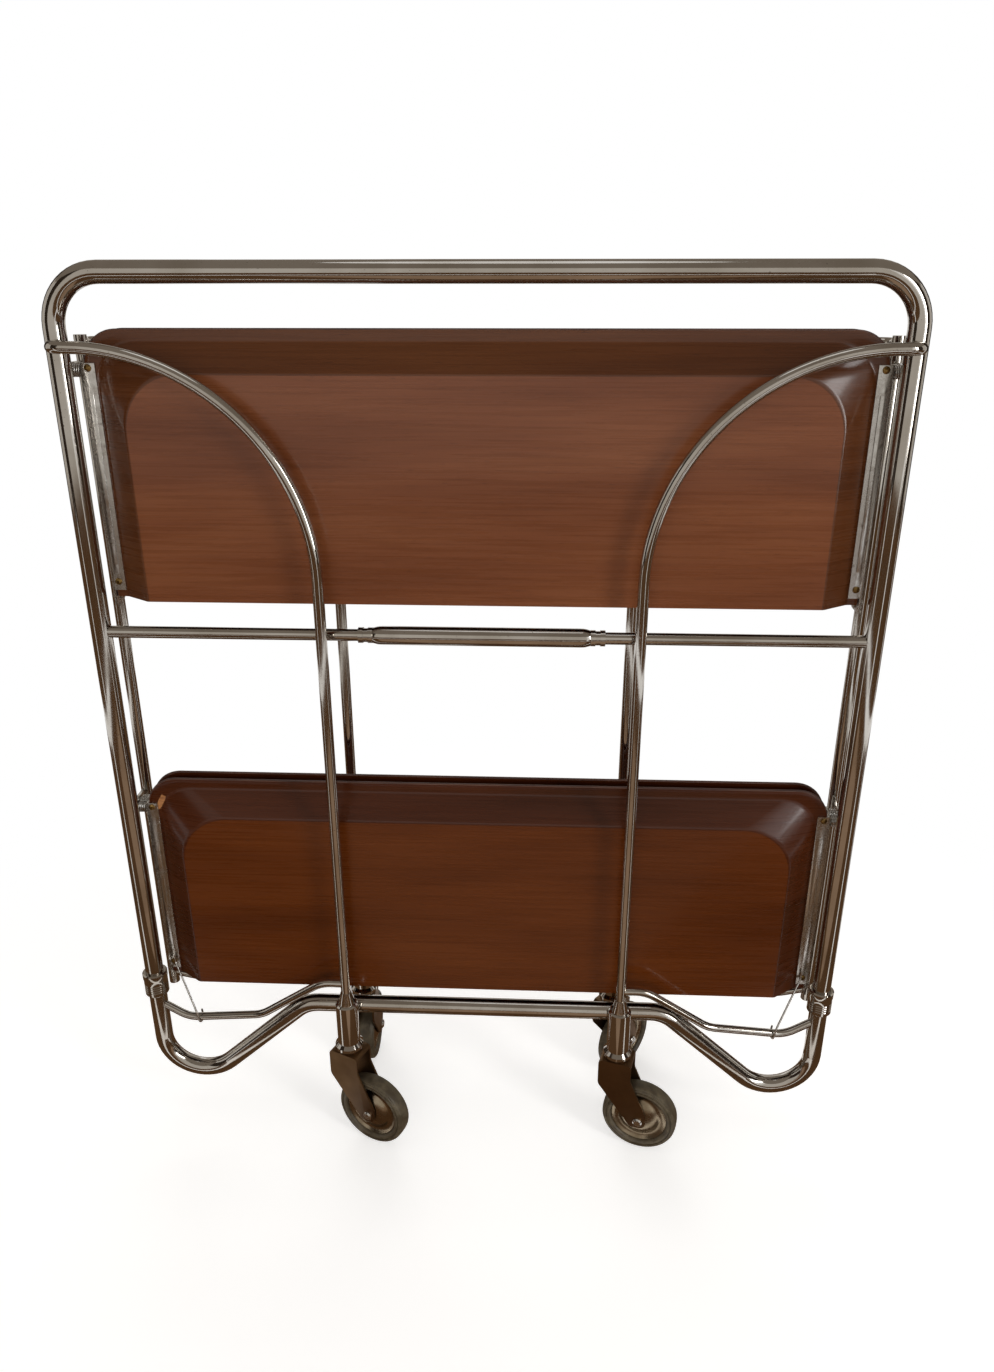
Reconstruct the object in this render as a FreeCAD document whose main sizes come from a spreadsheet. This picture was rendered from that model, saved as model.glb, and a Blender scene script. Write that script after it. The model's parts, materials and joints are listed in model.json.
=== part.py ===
import FreeCAD, Part
import math
import os
import re
import Sketcher

# Folding two-tier tea trolley, folded: millimetres, +Z up, seen from -Y, on the floor under its middle.

Vector = FreeCAD.Vector

# Driving dimensions, by name
SIZES = [
    # front loop
    ("tube_diameter", 18.0),
    ("loop_width", 692.0),
    ("handle_rise", 43.0),
    ("loop_corner_radius", 42.0),
    ("dip_height", 58.0),
    ("dip_radius", 42.0),
    ("dip_rise_angle", 42.0),
    ("middle_bar_drop", 23.0),
    ("shoulder_radius", 35.0),
    # rear posts and tie bar
    ("post_diameter", 11.0),
    ("post_set_out", 2.0),
    ("post_foot_drop", 13.0),
    ("post_top_drop", 6.0),
    ("tie_bar_diameter", 10.0),
    ("tie_bar_rise", 39.0),
    # legs and stays
    ("frame_gap", 50.0),
    ("leg_diameter", 10.0),
    ("leg_stand_off", 20.5),
    ("leg_width", 280.0),
    ("arch_drop", 13.0),
    ("arch_run", 16.0),
    ("arch_root_radius", 12.0),
    ("stay_diameter", 8.0),
    ("stay_rise", 10.0),
    ("stay_root_drop", 45.0),
    ("stay_low_drop", 59.0),
    ("stay_middle_drop", 47.0),
    ("stay_root_bend_radius", 40.0),
    ("stay_rise_bend_radius", 36.0),
    # collars on the side tubes
    ("collar_diameter", 25.0),
    ("collar_length", 27.0),
    ("collar_rise", 12.0),
    ("collar_groove_depth", 0.4),
    # carry bar and its grip
    ("carry_bar_diameter", 11.0),
    ("carry_bar_drop", 29.0),
    ("grip_length", 195.0),
    ("grip_diameter", 17.0),
    ("grip_end_diameter", 14.0),
    ("grip_taper_length", 6.0),
    ("ferrule_length", 13.0),
    ("ferrule_diameter", 14.4),
    ("ferrule_groove_depth", 0.8),
    # half trays
    ("tray_end_gap", 13.0),
    ("tray_width", 230.0),
    ("tray_depth", 20.0),
    ("board_thickness", 3.5),
    ("flange_width", 16.0),
    ("wall_run", 16.0),
    ("rim_corner_radius", 30.0),
    ("panel_corner_radius", 28.0),
    ("rim_gap", 12.0),
    ("upper_edge_height", 588.0),
    ("lower_edge_height", 172.0),
    ("pivot_margin", 33.0),
    ("hinge_drop", 1.0),
    # tray brackets and screws
    ("leaf_thickness", 2.0),
    ("leaf_width", 12.0),
    ("leaf_clearance", 0.3),
    ("leaf_start", 6.5),
    ("lug_radius", 6.0),
    ("lug_slope_length", 14.0),
    ("side_leaf_lip", 4.0),
    ("bead_width", 4.0),
    ("bead_height", 1.2),
    ("bead_end_margin", 24.0),
    ("screw_diameter", 3.0),
    ("screw_head_diameter", 6.4),
    ("screw_head_height", 1.5),
    ("screw_recess_diameter", 2.2),
    ("screw_recess_depth", 0.9),
    ("screw_end_margin", 8.0),
    # pins, pivot lugs and torsion springs
    ("running_clearance", 0.05),
    ("pivot_pin_diameter", 6.0),
    ("pin_head_diameter", 10.0),
    ("pin_head_length", 3.0),
    ("hinge_pin_diameter", 5.0),
    ("hinge_head_diameter", 8.0),
    ("hinge_head_length", 1.5),
    ("pivot_lug_thickness", 3.0),
    ("pivot_lug_height", 12.0),
    ("pivot_lug_set_out", 0.5),
    ("spring_wire_diameter", 1.3),
    ("spring_diameter", 10.4),
    ("spring_pitch", 1.75),
    ("spring_tail_length", 4.0),
    # hook wires
    ("hook_wire_diameter", 2.0),
    ("hook_ring_gap", 0.15),
    ("hook_rise", 24.0),
    ("hook_tip_length", 9.0),
    ("hook_bend_radius", 4.0),
    # castor sockets
    ("socket_diameter", 23.0),
    ("socket_foot_height", 109.0),
    ("socket_length", 58.0),
    ("socket_dome_diameter", 29.0),
    ("socket_dome_height", 10.0),
    ("sleeve_length", 13.0),
    ("sleeve_root_diameter", 18.0),
    ("sleeve_tip_diameter", 11.0),
    ("socket_chamfer", 1.5),
    # castors
    ("castor_trail", 27.0),
    ("front_left_castor_turn", 24.0),
    ("front_right_castor_turn", 16.0),
    ("rear_left_castor_turn", 90.0),
    ("rear_right_castor_turn", 50.0),
    ("kingpin_diameter", 8.0),
    ("kingpin_length", 27.0),
    ("kingpin_end_gap", 3.0),
    ("fork_top_gap", 0.3),
    ("fork_width", 26.0),
    ("fork_wall", 2.0),
    ("fork_top_thickness", 4.0),
    ("fork_head_length", 34.0),
    ("fork_head_height", 20.0),
    ("fork_eye_radius", 8.0),
    ("fork_bend_radius", 10.0),
    ("wheel_diameter", 78.0),
    ("tyre_width", 18.0),
    ("tyre_bead_width", 14.0),
    ("tyre_bore_diameter", 58.0),
    ("tyre_shoulder_radius", 4.0),
    ("hub_width", 20.6),
    ("hub_rim_width", 12.0),
    ("hub_boss_diameter", 18.0),
    ("hub_dome_diameter", 42.0),
    ("hub_dish_diameter", 52.0),
    ("axle_diameter", 6.0),
    ("axle_head_diameter", 10.0),
    ("axle_head_length", 2.5),
    # one overrun for every cut
    ("cut_overrun", 5.0),
]

# Sizes that follow from the driving ones: the trays set the frames, the sockets set the stays
WORKED_OUT = {
    "tray_length": "loop_width - 2 * tray_end_gap",
    "post_width": "loop_width + 2 * post_set_out",
    "upper_top": "upper_edge_height + tray_width",
    "loop_top": "upper_top + handle_rise",
    "arch_height": "upper_top - arch_drop",
    "post_top_height": "upper_top - post_top_drop",
    "arch_radius": "(loop_width - leg_width) / 2 - arch_run",
    "carry_bar_height": "upper_edge_height - carry_bar_drop",
    "middle_bar_height": "lower_edge_height - middle_bar_drop",
    "hook_tip_height": "lower_edge_height + hook_rise",
    "pivot_rise": "tray_width - pivot_margin",
    "sleeve_top": "socket_foot_height + socket_length + sleeve_length",
    "stay_top_height": "sleeve_top + stay_rise",
    "stay_root_height": "stay_top_height - stay_root_drop",
    "stay_low_height": "stay_top_height - stay_low_drop",
    "stay_middle_height": "stay_top_height - stay_middle_drop",
    "post_foot_height": "stay_root_height - post_foot_drop",
    "collar_height": "stay_root_height + collar_rise",
    "tie_bar_height": "socket_foot_height + tie_bar_rise",
}

# How far the wheel that stands out furthest reaches from its stem, in front and behind
for end in ("front", "rear"):
    WORKED_OUT[f"{end}_castor_reach"] = (
        f"(castor_trail + wheel_diameter / 2 - tyre_shoulder_radius) * sin({end}_left_castor_turn)"
        f" + (tyre_width / 2 - tyre_shoulder_radius) * cos({end}_left_castor_turn) + tyre_shoulder_radius")
# The plane between the frames, placed so that the whole trolley is centred over the origin
WORKED_OUT["middle"] = "(front_castor_reach - rear_castor_reach) / 2"

# Shares of the span from a side tube to its leg at which a stay bends, and how far forward it has come there
STAY_SPAN_SHARES = (0.165, 0.555, 0.879)
STAY_FORWARD_SHARES = (0.35, 0.70, 0.97)
# Where along the same span a hook wire wraps the stay
HOOK_SPAN_SHARE = 0.225
# How much of a corner its rounding takes: hook wire rings, fork eyes
HOOK_ROUND_SHARE = 0.98
EYE_ROUND_SHARE = 0.9
# Width of a domed head where the dome starts and where it ends
SCREW_DOME_SHARE = 0.9
AXLE_DOME_SHARE = 0.7
SPRING_TURNS = 4
COIL_POINTS_PER_ARC = 8
COLLAR_GROOVES = 4
NAMES = {name for name, value in SIZES}

document = FreeCAD.newDocument("tea_trolley")
sheet = document.addObject("Spreadsheet::Sheet", "Sizes")
for row, (name, value) in enumerate(SIZES, start=1):
    sheet.set(f"A{row}", name)
    sheet.set(f"B{row}", str(value))
    sheet.setAlias(f"B{row}", name)
document.recompute()

# Which frame and which side of it
FRONT = -1
REAR = 1
LEFT = -1
RIGHT = 1
FRAME_NAMES = {FRONT: "front", REAR: "rear"}
SIDE_NAMES = {LEFT: "left", RIGHT: "right"}
TIER_EDGES = {"upper": "upper_edge_height", "lower": "lower_edge_height"}
FRAME_WIDTHS = {FRONT: "loop_width", REAR: "post_width"}
FRAME_TUBES = {FRONT: "tube_diameter", REAR: "post_diameter"}

parts = []


def full_name(word):
    """A word of an expression as the sheet knows it, with a size that follows from others spelled out."""
    name = word[0]
    if name in WORKED_OUT:
        return f"({in_sheet(WORKED_OUT[name])})"
    return f"Sizes.{name}" if name in NAMES else name


def in_sheet(expression):
    """The expression with each of its names given in full."""
    return re.sub(r"[a-z_]+", full_name, expression)


def number(expression):
    """What an expression in the sheet's names works out to."""
    return float(sheet.evalExpression(in_sheet(expression)))


def bind(item, field, expression):
    """Ties a field of an object to an expression in the sheet's names."""
    item.setExpression(field, in_sheet(expression))


def place(item, x, y, z, axis=None, angle=None):
    """Stands an object at a place given in expressions, turned about an axis."""
    if axis is not None:
        item.Placement = FreeCAD.Placement(Vector(), FreeCAD.Rotation(axis, number(angle)))
        bind(item, "Placement.Rotation.Angle", angle)
    for letter, expression in zip("xyz", (x, y, z)):
        bind(item, f"Placement.Base.{letter}", expression)
    return item


def keep(item, label):
    """Names an object as a finished sub-part."""
    item.Label = label
    parts.append(item)
    return item


def group(label, items):
    """One sub-part of several separate solids."""
    item = document.addObject("Part::Compound", label)
    item.Links = items
    return keep(item, label)


def frame_y(frame):
    """Plane of a frame's side tubes."""
    return f"(middle + {frame} * frame_gap / 2)"


def leg_y(frame):
    """Plane of a frame's legs and castor stems."""
    return f"(middle + {frame} * (frame_gap / 2 + leg_stand_off))"


def pivot_y(frame):
    """Line of a frame's tray pivots, level with the tray rims."""
    return f"(middle + {frame} * rim_gap / 2)"


# Sketches

def new_sketch(body, role, offset=None):
    """An empty sketch on one of the body's own planes, moved along its normal by an offset."""
    sketch = body.newObject("Sketcher::SketchObject", body.Name + "_sketch")
    plane = next(item for item in body.Origin.OriginFeatures if item.Role == role)
    sketch.AttachmentSupport = [(plane, "")]
    sketch.MapMode = "FlatFace"
    if offset is not None:
        bind(sketch, "AttachmentOffset.Base.z", offset)
    return sketch


def corner_arc(start, corner, end):
    """The arc that is tangent to both runs of a corner, from start to end at equal distances from it."""
    reach = (start - corner).Length
    inward = ((start - corner) + (end - corner)).normalize()
    half_angle = (start - corner).getAngle(inward)
    sag = reach / math.cos(half_angle) - reach * math.tan(half_angle)
    return Part.Arc(start, corner + inward * sag, end)


def tie_point(sketch, geometry, point, corner):
    """Ties one point of a sketch to a place given in expressions."""
    for kind, expression in (("DistanceX", corner[0]), ("DistanceY", corner[1])):
        rule = Sketcher.Constraint(kind, -1, 1, geometry, point, number(expression))
        bind(sketch, f"Constraints[{sketch.addConstraint(rule)}]", expression)


def tie_radius(sketch, geometry, radius):
    """Ties the radius of an arc or circle to an expression."""
    rule = Sketcher.Constraint("Radius", geometry, number(radius))
    bind(sketch, f"Constraints[{sketch.addConstraint(rule)}]", radius)


def draw_outline(sketch, corners):
    """A closed outline through corners (x, y), or (x, y, radius) where rounded, drawn anticlockwise."""
    places = [Vector(number(corner[0]), number(corner[1]), 0) for corner in corners]
    turns = [(here.cross(there)).z for here, there in zip(places, places[1:] + places[:1])]
    if sum(turns) < 0:
        corners = corners[::-1]
        places = places[::-1]
    ends = []
    for index, corner in enumerate(corners):
        before = places[index - 1] - places[index]
        after = places[(index + 1) % len(corners)] - places[index]
        reach = number(corner[2]) / math.tan(before.getAngle(after) / 2) if len(corner) > 2 else 0
        ends.append((places[index] + before.normalize() * reach, places[index] + after.normalize() * reach))
    lines = []
    for index in range(len(corners)):
        side = Part.LineSegment(ends[index][1], ends[(index + 1) % len(corners)][0])
        lines.append(sketch.addGeometry(side))
    for index, corner in enumerate(corners):
        before, after = lines[index - 1], lines[index]
        if len(corner) == 2:
            sketch.addConstraint(Sketcher.Constraint("Coincident", before, 2, after, 1))
            tie_point(sketch, after, 1, corner)
            continue
        arrive, leave = ends[index]
        first = 1 if (places[index] - arrive).cross(leave - places[index]).z > 0 else 2
        start, end = (arrive, leave) if first == 1 else (leave, arrive)
        arc = sketch.addGeometry(corner_arc(start, places[index], end))
        point = sketch.addGeometry(Part.Point(places[index]), True)
        tie_point(sketch, point, 1, corner)
        sketch.addConstraint(Sketcher.Constraint("PointOnObject", point, 1, before))
        sketch.addConstraint(Sketcher.Constraint("PointOnObject", point, 1, after))
        sketch.addConstraint(Sketcher.Constraint("Tangent", before, 2, arc, first))
        sketch.addConstraint(Sketcher.Constraint("Tangent", after, 1, arc, 3 - first))
        tie_radius(sketch, arc, corner[2])


def draw_circle(sketch, x, y, radius):
    """A circle at a place given in expressions."""
    circle = Part.Circle(Vector(number(x), number(y), 0), Vector(0, 0, 1), number(radius))
    geometry = sketch.addGeometry(circle)
    tie_point(sketch, geometry, 3, (x, y))
    tie_radius(sketch, geometry, radius)


# Features

def new_body(name):
    """An empty solid body."""
    return document.addObject("PartDesign::Body", name)


def pad(body, sketch, length, symmetric=True):
    """Thickens a sketch, both ways alike or along its normal only."""
    feature = body.newObject("PartDesign::Pad", body.Name + "_pad")
    feature.Profile = sketch
    feature.SideType = "Symmetric" if symmetric else "One side"
    bind(feature, "Length", length)
    return feature


def pocket(body, sketch, length):
    """Cuts a sketch through the body, both ways alike."""
    feature = body.newObject("PartDesign::Pocket", body.Name + "_pocket")
    feature.Profile = sketch
    feature.SideType = "Symmetric"
    bind(feature, "Length", length)
    return feature


def turned(name, corners):
    """A body turned about its own Z axis from an outline of (radius, height) corners."""
    body = new_body(name)
    sketch = new_sketch(body, "XZ_Plane")
    draw_outline(sketch, corners)
    feature = body.newObject("PartDesign::Revolution", name + "_turn")
    feature.Profile = sketch
    feature.ReferenceAxis = (sketch, ["V_Axis"])
    feature.Angle = 360
    return body


def cylinder(name, radius, length, x, y, z, axis=None, angle=None):
    """A plain round bar."""
    item = document.addObject("Part::Cylinder", name)
    bind(item, "Radius", radius)
    bind(item, "Height", length)
    return place(item, x, y, z, axis, angle)


# Bent tubes, which run through space along straight runs and tangent arcs

def bent_wire(points, radii, closed=False):
    """A path through points with each bend rounded by its radius; an open path has no radius at its ends."""
    count = len(points)
    edges = []
    ends = []
    for index, point in enumerate(points):
        before = points[index - 1] - point
        after = points[(index + 1) % count] - point
        reach = radii[index] / math.tan(before.getAngle(after) / 2) if radii[index] else 0
        ends.append((point + before.normalize() * reach, point + after.normalize() * reach))
    for index, point in enumerate(points):
        if radii[index]:
            edges.append(corner_arc(ends[index][0], point, ends[index][1]).toShape())
        if closed or index < count - 1:
            edges.append(Part.LineSegment(ends[index][1], ends[(index + 1) % count][0]).toShape())
    return Part.Wire(edges)


def tube_along(wire, start, direction, radius):
    """A solid round bar along a path."""
    section = Part.Wire(Part.Circle(start, direction, radius).toShape())
    shape = wire.makePipeShell([section], True, False)
    return shape if shape.ShapeType == "Solid" else Part.Solid(Part.Shell(shape.Faces))


def bent_tube(points, radii, radius):
    """A solid round bar along an open bent path."""
    return tube_along(bent_wire(points, radii), points[0], points[1] - points[0], radius)


def free_shape(label, shape):
    """A sub-part whose shape is worked out here from the sheet's sizes."""
    item = document.addObject("Part::Feature", label)
    item.Shape = shape
    return keep(item, label)


def upright_core(frame, side):
    """The space that a frame's side tube fills, for cutting tube ends to its surface."""
    x = side * number(FRAME_WIDTHS[frame]) / 2
    base = Vector(x, number(frame_y(frame)), 0)
    return Part.makeCylinder(number(FRAME_TUBES[frame]) / 2, number("loop_top"), base)


# Frames

def build_loop():
    """The thick closed tube: push handle, side tubes, low dips and raised middle bar."""
    half = number("loop_width / 2")
    y = number(frame_y(FRONT))
    top = number("loop_top")
    bar = number("middle_bar_height")
    rise = number("dip_rise_angle")
    turn = math.radians(90 + rise) / 2
    dip = number("dip_height + dip_radius") - number("dip_radius") * math.tan(turn)
    shoulder = half - (bar - dip) / math.tan(math.radians(rise))
    corner_radius = number("loop_corner_radius")
    dip_radius = number("dip_radius")
    shoulder_radius = number("shoulder_radius")
    points = [Vector(0, y, top), Vector(half, y, top), Vector(half, y, dip), Vector(shoulder, y, bar)]
    points += [Vector(-shoulder, y, bar), Vector(-half, y, dip), Vector(-half, y, top)]
    radii = [0, corner_radius, dip_radius, shoulder_radius, shoulder_radius, dip_radius, corner_radius]
    wire = bent_wire(points, radii, closed=True)
    free_shape("front_loop_tube", tube_along(wire, points[0], Vector(1, 0, 0), number("tube_diameter / 2")))


def build_leg(frame, side):
    """An arched leg: out of the side tube, a quarter circle, then straight down to its castor socket."""
    outer = side * number(FRAME_WIDTHS[frame]) / 2
    inner = side * number("leg_width / 2")
    y = number(leg_y(frame))
    top = number("arch_height")
    foot = number("sleeve_top")
    points = [Vector(outer, number(frame_y(frame)), top), Vector(outer, y, top)]
    points += [Vector(inner, y, top), Vector(inner, y, foot)]
    radii = [0, number("arch_root_radius"), number("arch_radius"), 0]
    shape = bent_tube(points, radii, number("leg_diameter / 2")).cut(upright_core(frame, side))
    free_shape(f"{FRAME_NAMES[frame]}_{SIDE_NAMES[side]}_leg", shape.Solids[0])


def stay_points(frame, side):
    """The bends of a lower stay, from inside its side tube to inside its leg."""
    outer = number(FRAME_WIDTHS[frame]) / 2
    inner = number("leg_width / 2")
    back = number(frame_y(frame))
    front = number(leg_y(frame))
    top = number("stay_top_height")
    heights = (number("stay_low_height"), number("stay_middle_height"), top)
    points = [Vector(side * outer, back, number("stay_root_height"))]
    for span_share, forward_share, z in zip(STAY_SPAN_SHARES, STAY_FORWARD_SHARES, heights):
        x = outer + (inner - outer) * span_share
        points.append(Vector(side * x, back + (front - back) * forward_share, z))
    points.append(Vector(side * inner, front, top))
    return points


def build_stay(frame, side):
    """A thin stay from the side tube's foot to the leg above its castor."""
    rise = number("stay_rise_bend_radius")
    radii = [0, number("stay_root_bend_radius"), rise, rise, 0]
    points = stay_points(frame, side)
    shape = bent_tube(points, radii, number("stay_diameter / 2"))
    leg_foot = Vector(points[-1].x, points[-1].y, 0)
    leg_core = Part.makeCylinder(number("leg_diameter / 2"), number("loop_top"), leg_foot)
    whole = shape.cut(upright_core(frame, side)).cut(leg_core)
    longest = max(whole.Solids, key=lambda solid: solid.Volume)
    free_shape(f"{FRAME_NAMES[frame]}_{SIDE_NAMES[side]}_stay", longest)


def build_collars():
    """Grooved rings low on the side tubes."""
    outer = "collar_diameter / 2"
    inner = "(tube_diameter / 2 + running_clearance)"
    band = f"collar_length / {2 * COLLAR_GROOVES + 1}"
    corners = [(inner, "0"), (outer, "0")]
    for groove in range(COLLAR_GROOVES):
        low = f"{2 * groove + 1} * {band}"
        high = f"{2 * groove + 2} * {band}"
        floor = f"{outer} - collar_groove_depth"
        corners += [(outer, low), (floor, low), (floor, high), (outer, high)]
    corners += [(outer, "collar_length"), (inner, "collar_length")]
    rings = []
    for side in (LEFT, RIGHT):
        ring = turned(f"collar_{SIDE_NAMES[side]}", corners)
        rings.append(place(ring, f"{side} * loop_width / 2", frame_y(FRONT), "collar_height"))
    group("loop_collars", rings)


def build_carry_bar():
    """The bar between the side tubes, its ends cut to the tubes, with a tapered grip and two ferrules."""
    across = Vector(0, 1, 0)
    quarter_turn = "90"
    y = frame_y(FRONT)
    bar = cylinder("carry_bar_rod", "carry_bar_diameter / 2", "loop_width", "-loop_width / 2", y,
                   "carry_bar_height", across, quarter_turn)
    for side in (LEFT, RIGHT):
        tube = cylinder(f"carry_bar_end_{SIDE_NAMES[side]}", "tube_diameter / 2", "4 * tube_diameter",
                        f"{side} * loop_width / 2", y, "carry_bar_height - 2 * tube_diameter")
        cut = document.addObject("Part::Cut", f"carry_bar_cut_{SIDE_NAMES[side]}")
        cut.Base = bar
        cut.Tool = tube
        bar = cut
    keep(bar, "carry_bar")

    bore = "(carry_bar_diameter / 2 + running_clearance)"
    sleeve = turned("grip", [
        (bore, "0"), ("grip_end_diameter / 2", "0"), ("grip_diameter / 2", "grip_taper_length"),
        ("grip_diameter / 2", "grip_length - grip_taper_length"), ("grip_end_diameter / 2", "grip_length"),
        (bore, "grip_length")])
    place(sleeve, "-grip_length / 2", y, "carry_bar_height", across, quarter_turn)
    keep(sleeve, "grip_sleeve")

    rim = "ferrule_diameter / 2"
    floor = "(ferrule_diameter / 2 - ferrule_groove_depth)"
    ferrules = []
    for side in (LEFT, RIGHT):
        ferrule = turned(f"grip_ferrule_{SIDE_NAMES[side]}", [
            (bore, "0"), (rim, "0"), (rim, "ferrule_length / 3"), (floor, "ferrule_length / 3"),
            (floor, "ferrule_length * 2 / 3"), (rim, "ferrule_length * 2 / 3"), (rim, "ferrule_length"),
            (bore, "ferrule_length")])
        x = f"{side} * (grip_length + ferrule_length) / 2 - ferrule_length / 2"
        ferrules.append(place(ferrule, x, y, "carry_bar_height", across, quarter_turn))
    group("grip_ferrules", ferrules)


def build_rear_posts():
    """Thin straight posts behind the side tubes."""
    for side in (LEFT, RIGHT):
        post = cylinder(f"post_{SIDE_NAMES[side]}", "post_diameter / 2", "post_top_height - post_foot_height",
                        f"{side} * post_width / 2", frame_y(REAR), "post_foot_height")
        keep(post, f"rear_{SIDE_NAMES[side]}_post")


def build_tie_bar():
    """The bar between the rear castor sockets, its ends cut to them."""
    bar = cylinder("tie_bar_rod", "tie_bar_diameter / 2", "leg_width", "-leg_width / 2", leg_y(REAR),
                   "tie_bar_height", Vector(0, 1, 0), "90")
    for side in (LEFT, RIGHT):
        core = cylinder(f"tie_bar_end_{SIDE_NAMES[side]}", "socket_diameter / 2", "socket_length",
                        f"{side} * leg_width / 2", leg_y(REAR), "socket_foot_height")
        cut = document.addObject("Part::Cut", f"tie_bar_cut_{SIDE_NAMES[side]}")
        cut.Base = bar
        cut.Tool = core
        bar = cut
    keep(bar, "rear_tie_bar")


def build_sockets(frame):
    """The castor sockets: a domed foot, a plain barrel and a tapered sleeve that takes the leg."""
    bore = "(kingpin_diameter / 2 + running_clearance)"
    roof = "kingpin_length + kingpin_end_gap"
    barrel = "socket_diameter / 2"
    dome = "socket_dome_diameter / 2"
    tip = "socket_length + sleeve_length"
    corners = [
        (bore, "0"), (f"{barrel} - socket_chamfer", "0"), (dome, "socket_dome_height / 3"),
        (dome, "socket_dome_height * 2 / 3"), (barrel, "socket_dome_height"),
        (barrel, "socket_length - socket_chamfer"), (f"{barrel} - socket_chamfer", "socket_length"),
        ("sleeve_root_diameter / 2", "socket_length"), ("sleeve_tip_diameter / 2", tip), ("0", tip),
        ("0", roof), (bore, roof)]
    sockets = []
    for side in (LEFT, RIGHT):
        socket = turned(f"{FRAME_NAMES[frame]}_socket_{SIDE_NAMES[side]}", corners)
        place(socket, f"{side} * leg_width / 2", leg_y(frame), "socket_foot_height")
        sockets.append(socket)
    group(f"{FRAME_NAMES[frame]}_castor_sockets", sockets)


# Tray pivots on the frames

def side_leaf_start(frame):
    """Inner face of a tray's side leaf; the rear tray's leaf lies just outside the front one."""
    inset = "leaf_clearance" if frame == FRONT else "2 * leaf_clearance + leaf_thickness"
    return f"(tray_length / 2 + {inset})"


def lug_middle(frame):
    """Middle of a pivot lug's thickness, behind the middle of its side tube."""
    return f"({FRAME_WIDTHS[frame]} / 2 + pivot_lug_set_out)"


def build_pivot_hardware(frame):
    """Lugs on the side tubes, the pivot pins in them, and a torsion spring round each pin."""
    lugs = []
    pins = []
    springs = []
    across = Vector(0, 1, 0)
    reach = f"(frame_gap / 2 - rim_gap / 2 - {FRAME_TUBES[frame]} / 2)"
    half_height = "pivot_lug_height / 2"
    round_end = "pivot_lug_height / 3"
    for tier, edge in TIER_EDGES.items():
        pivot_z = f"{edge} + pivot_rise"
        for side in (LEFT, RIGHT):
            tag = f"{FRAME_NAMES[frame]}_{tier}_{SIDE_NAMES[side]}"
            lug = new_body(f"lug_{tag}")
            sketch = new_sketch(lug, "YZ_Plane")
            near = f"{-frame} * {half_height}"
            far = f"{frame} * {reach}"
            draw_outline(sketch, [
                (near, f"-{half_height}", round_end), (far, f"-{half_height}"),
                (far, half_height), (near, half_height, round_end)])
            draw_circle(sketch, "0", "0", "pivot_pin_diameter / 2 + running_clearance")
            pad(lug, sketch, "pivot_lug_thickness")
            lugs.append(place(lug, f"{side} * {lug_middle(frame)}", pivot_y(frame), pivot_z))

            inner = side_leaf_start(frame)
            shank = f"({lug_middle(frame)} + pivot_lug_thickness / 2 - {inner})"
            pin = turned(f"pin_{tag}", [
                ("0", "0"), ("pivot_pin_diameter / 2", "0"), ("pivot_pin_diameter / 2", shank),
                ("pin_head_diameter / 2", shank), ("pin_head_diameter / 2", f"{shank} + pin_head_length"),
                ("0", f"{shank} + pin_head_length")])
            pins.append(place(pin, f"{side} * {inner}", pivot_y(frame), pivot_z, across, f"{side} * 90"))
            springs.append(build_spring(tag, frame, side, number(pivot_z)))
    group(f"{FRAME_NAMES[frame]}_pivot_lugs", lugs)
    group(f"{FRAME_NAMES[frame]}_pivot_pins", pins)
    group(f"{FRAME_NAMES[frame]}_pivot_springs", springs)


def helix_frame(axis_point, side, frame, radius, pitch, turns):
    """Point and tangent of a coil along X after so many turns, starting on its outward side."""
    angle = 2 * math.pi * turns
    spoke = Vector(0, -frame * math.cos(angle), math.sin(angle))
    along = Vector(0, frame * math.sin(angle), math.cos(angle)) * (2 * math.pi * radius)
    point = axis_point + Vector(side * pitch * turns, 0, 0) + spoke * radius
    return point, (along + Vector(side * pitch, 0, 0)).normalize()


def biarc(start, start_way, end, end_way):
    """Two arcs that join two points of a coil and keep its direction at both."""
    span = end - start
    ways = start_way + end_way
    bend = 2 * (start_way.dot(end_way) - 1)
    run = span.dot(ways)
    reach = (run - math.sqrt(run * run - bend * span.dot(span))) / bend
    first = start + start_way * reach
    second = end - end_way * reach
    middle = (first + second) / 2
    return [corner_arc(start, first, middle), corner_arc(middle, second, end)]


def coil_gap(edges, wire_diameter, turn_length):
    """Least gap between the turns of a coil, measured on points along it."""
    points = []
    for edge in edges:
        points += edge.discretize(COIL_POINTS_PER_ARC)[:-1]
    steps = [0.0]
    for here, there in zip(points, points[1:]):
        steps.append(steps[-1] + (there - here).Length)
    least = None
    for index, point in enumerate(points):
        for other in range(index + 1, len(points)):
            if steps[other] - steps[index] > turn_length / 2:
                gap = (points[other] - point).Length - wire_diameter
                least = gap if least is None else min(least, gap)
    return least


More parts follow.
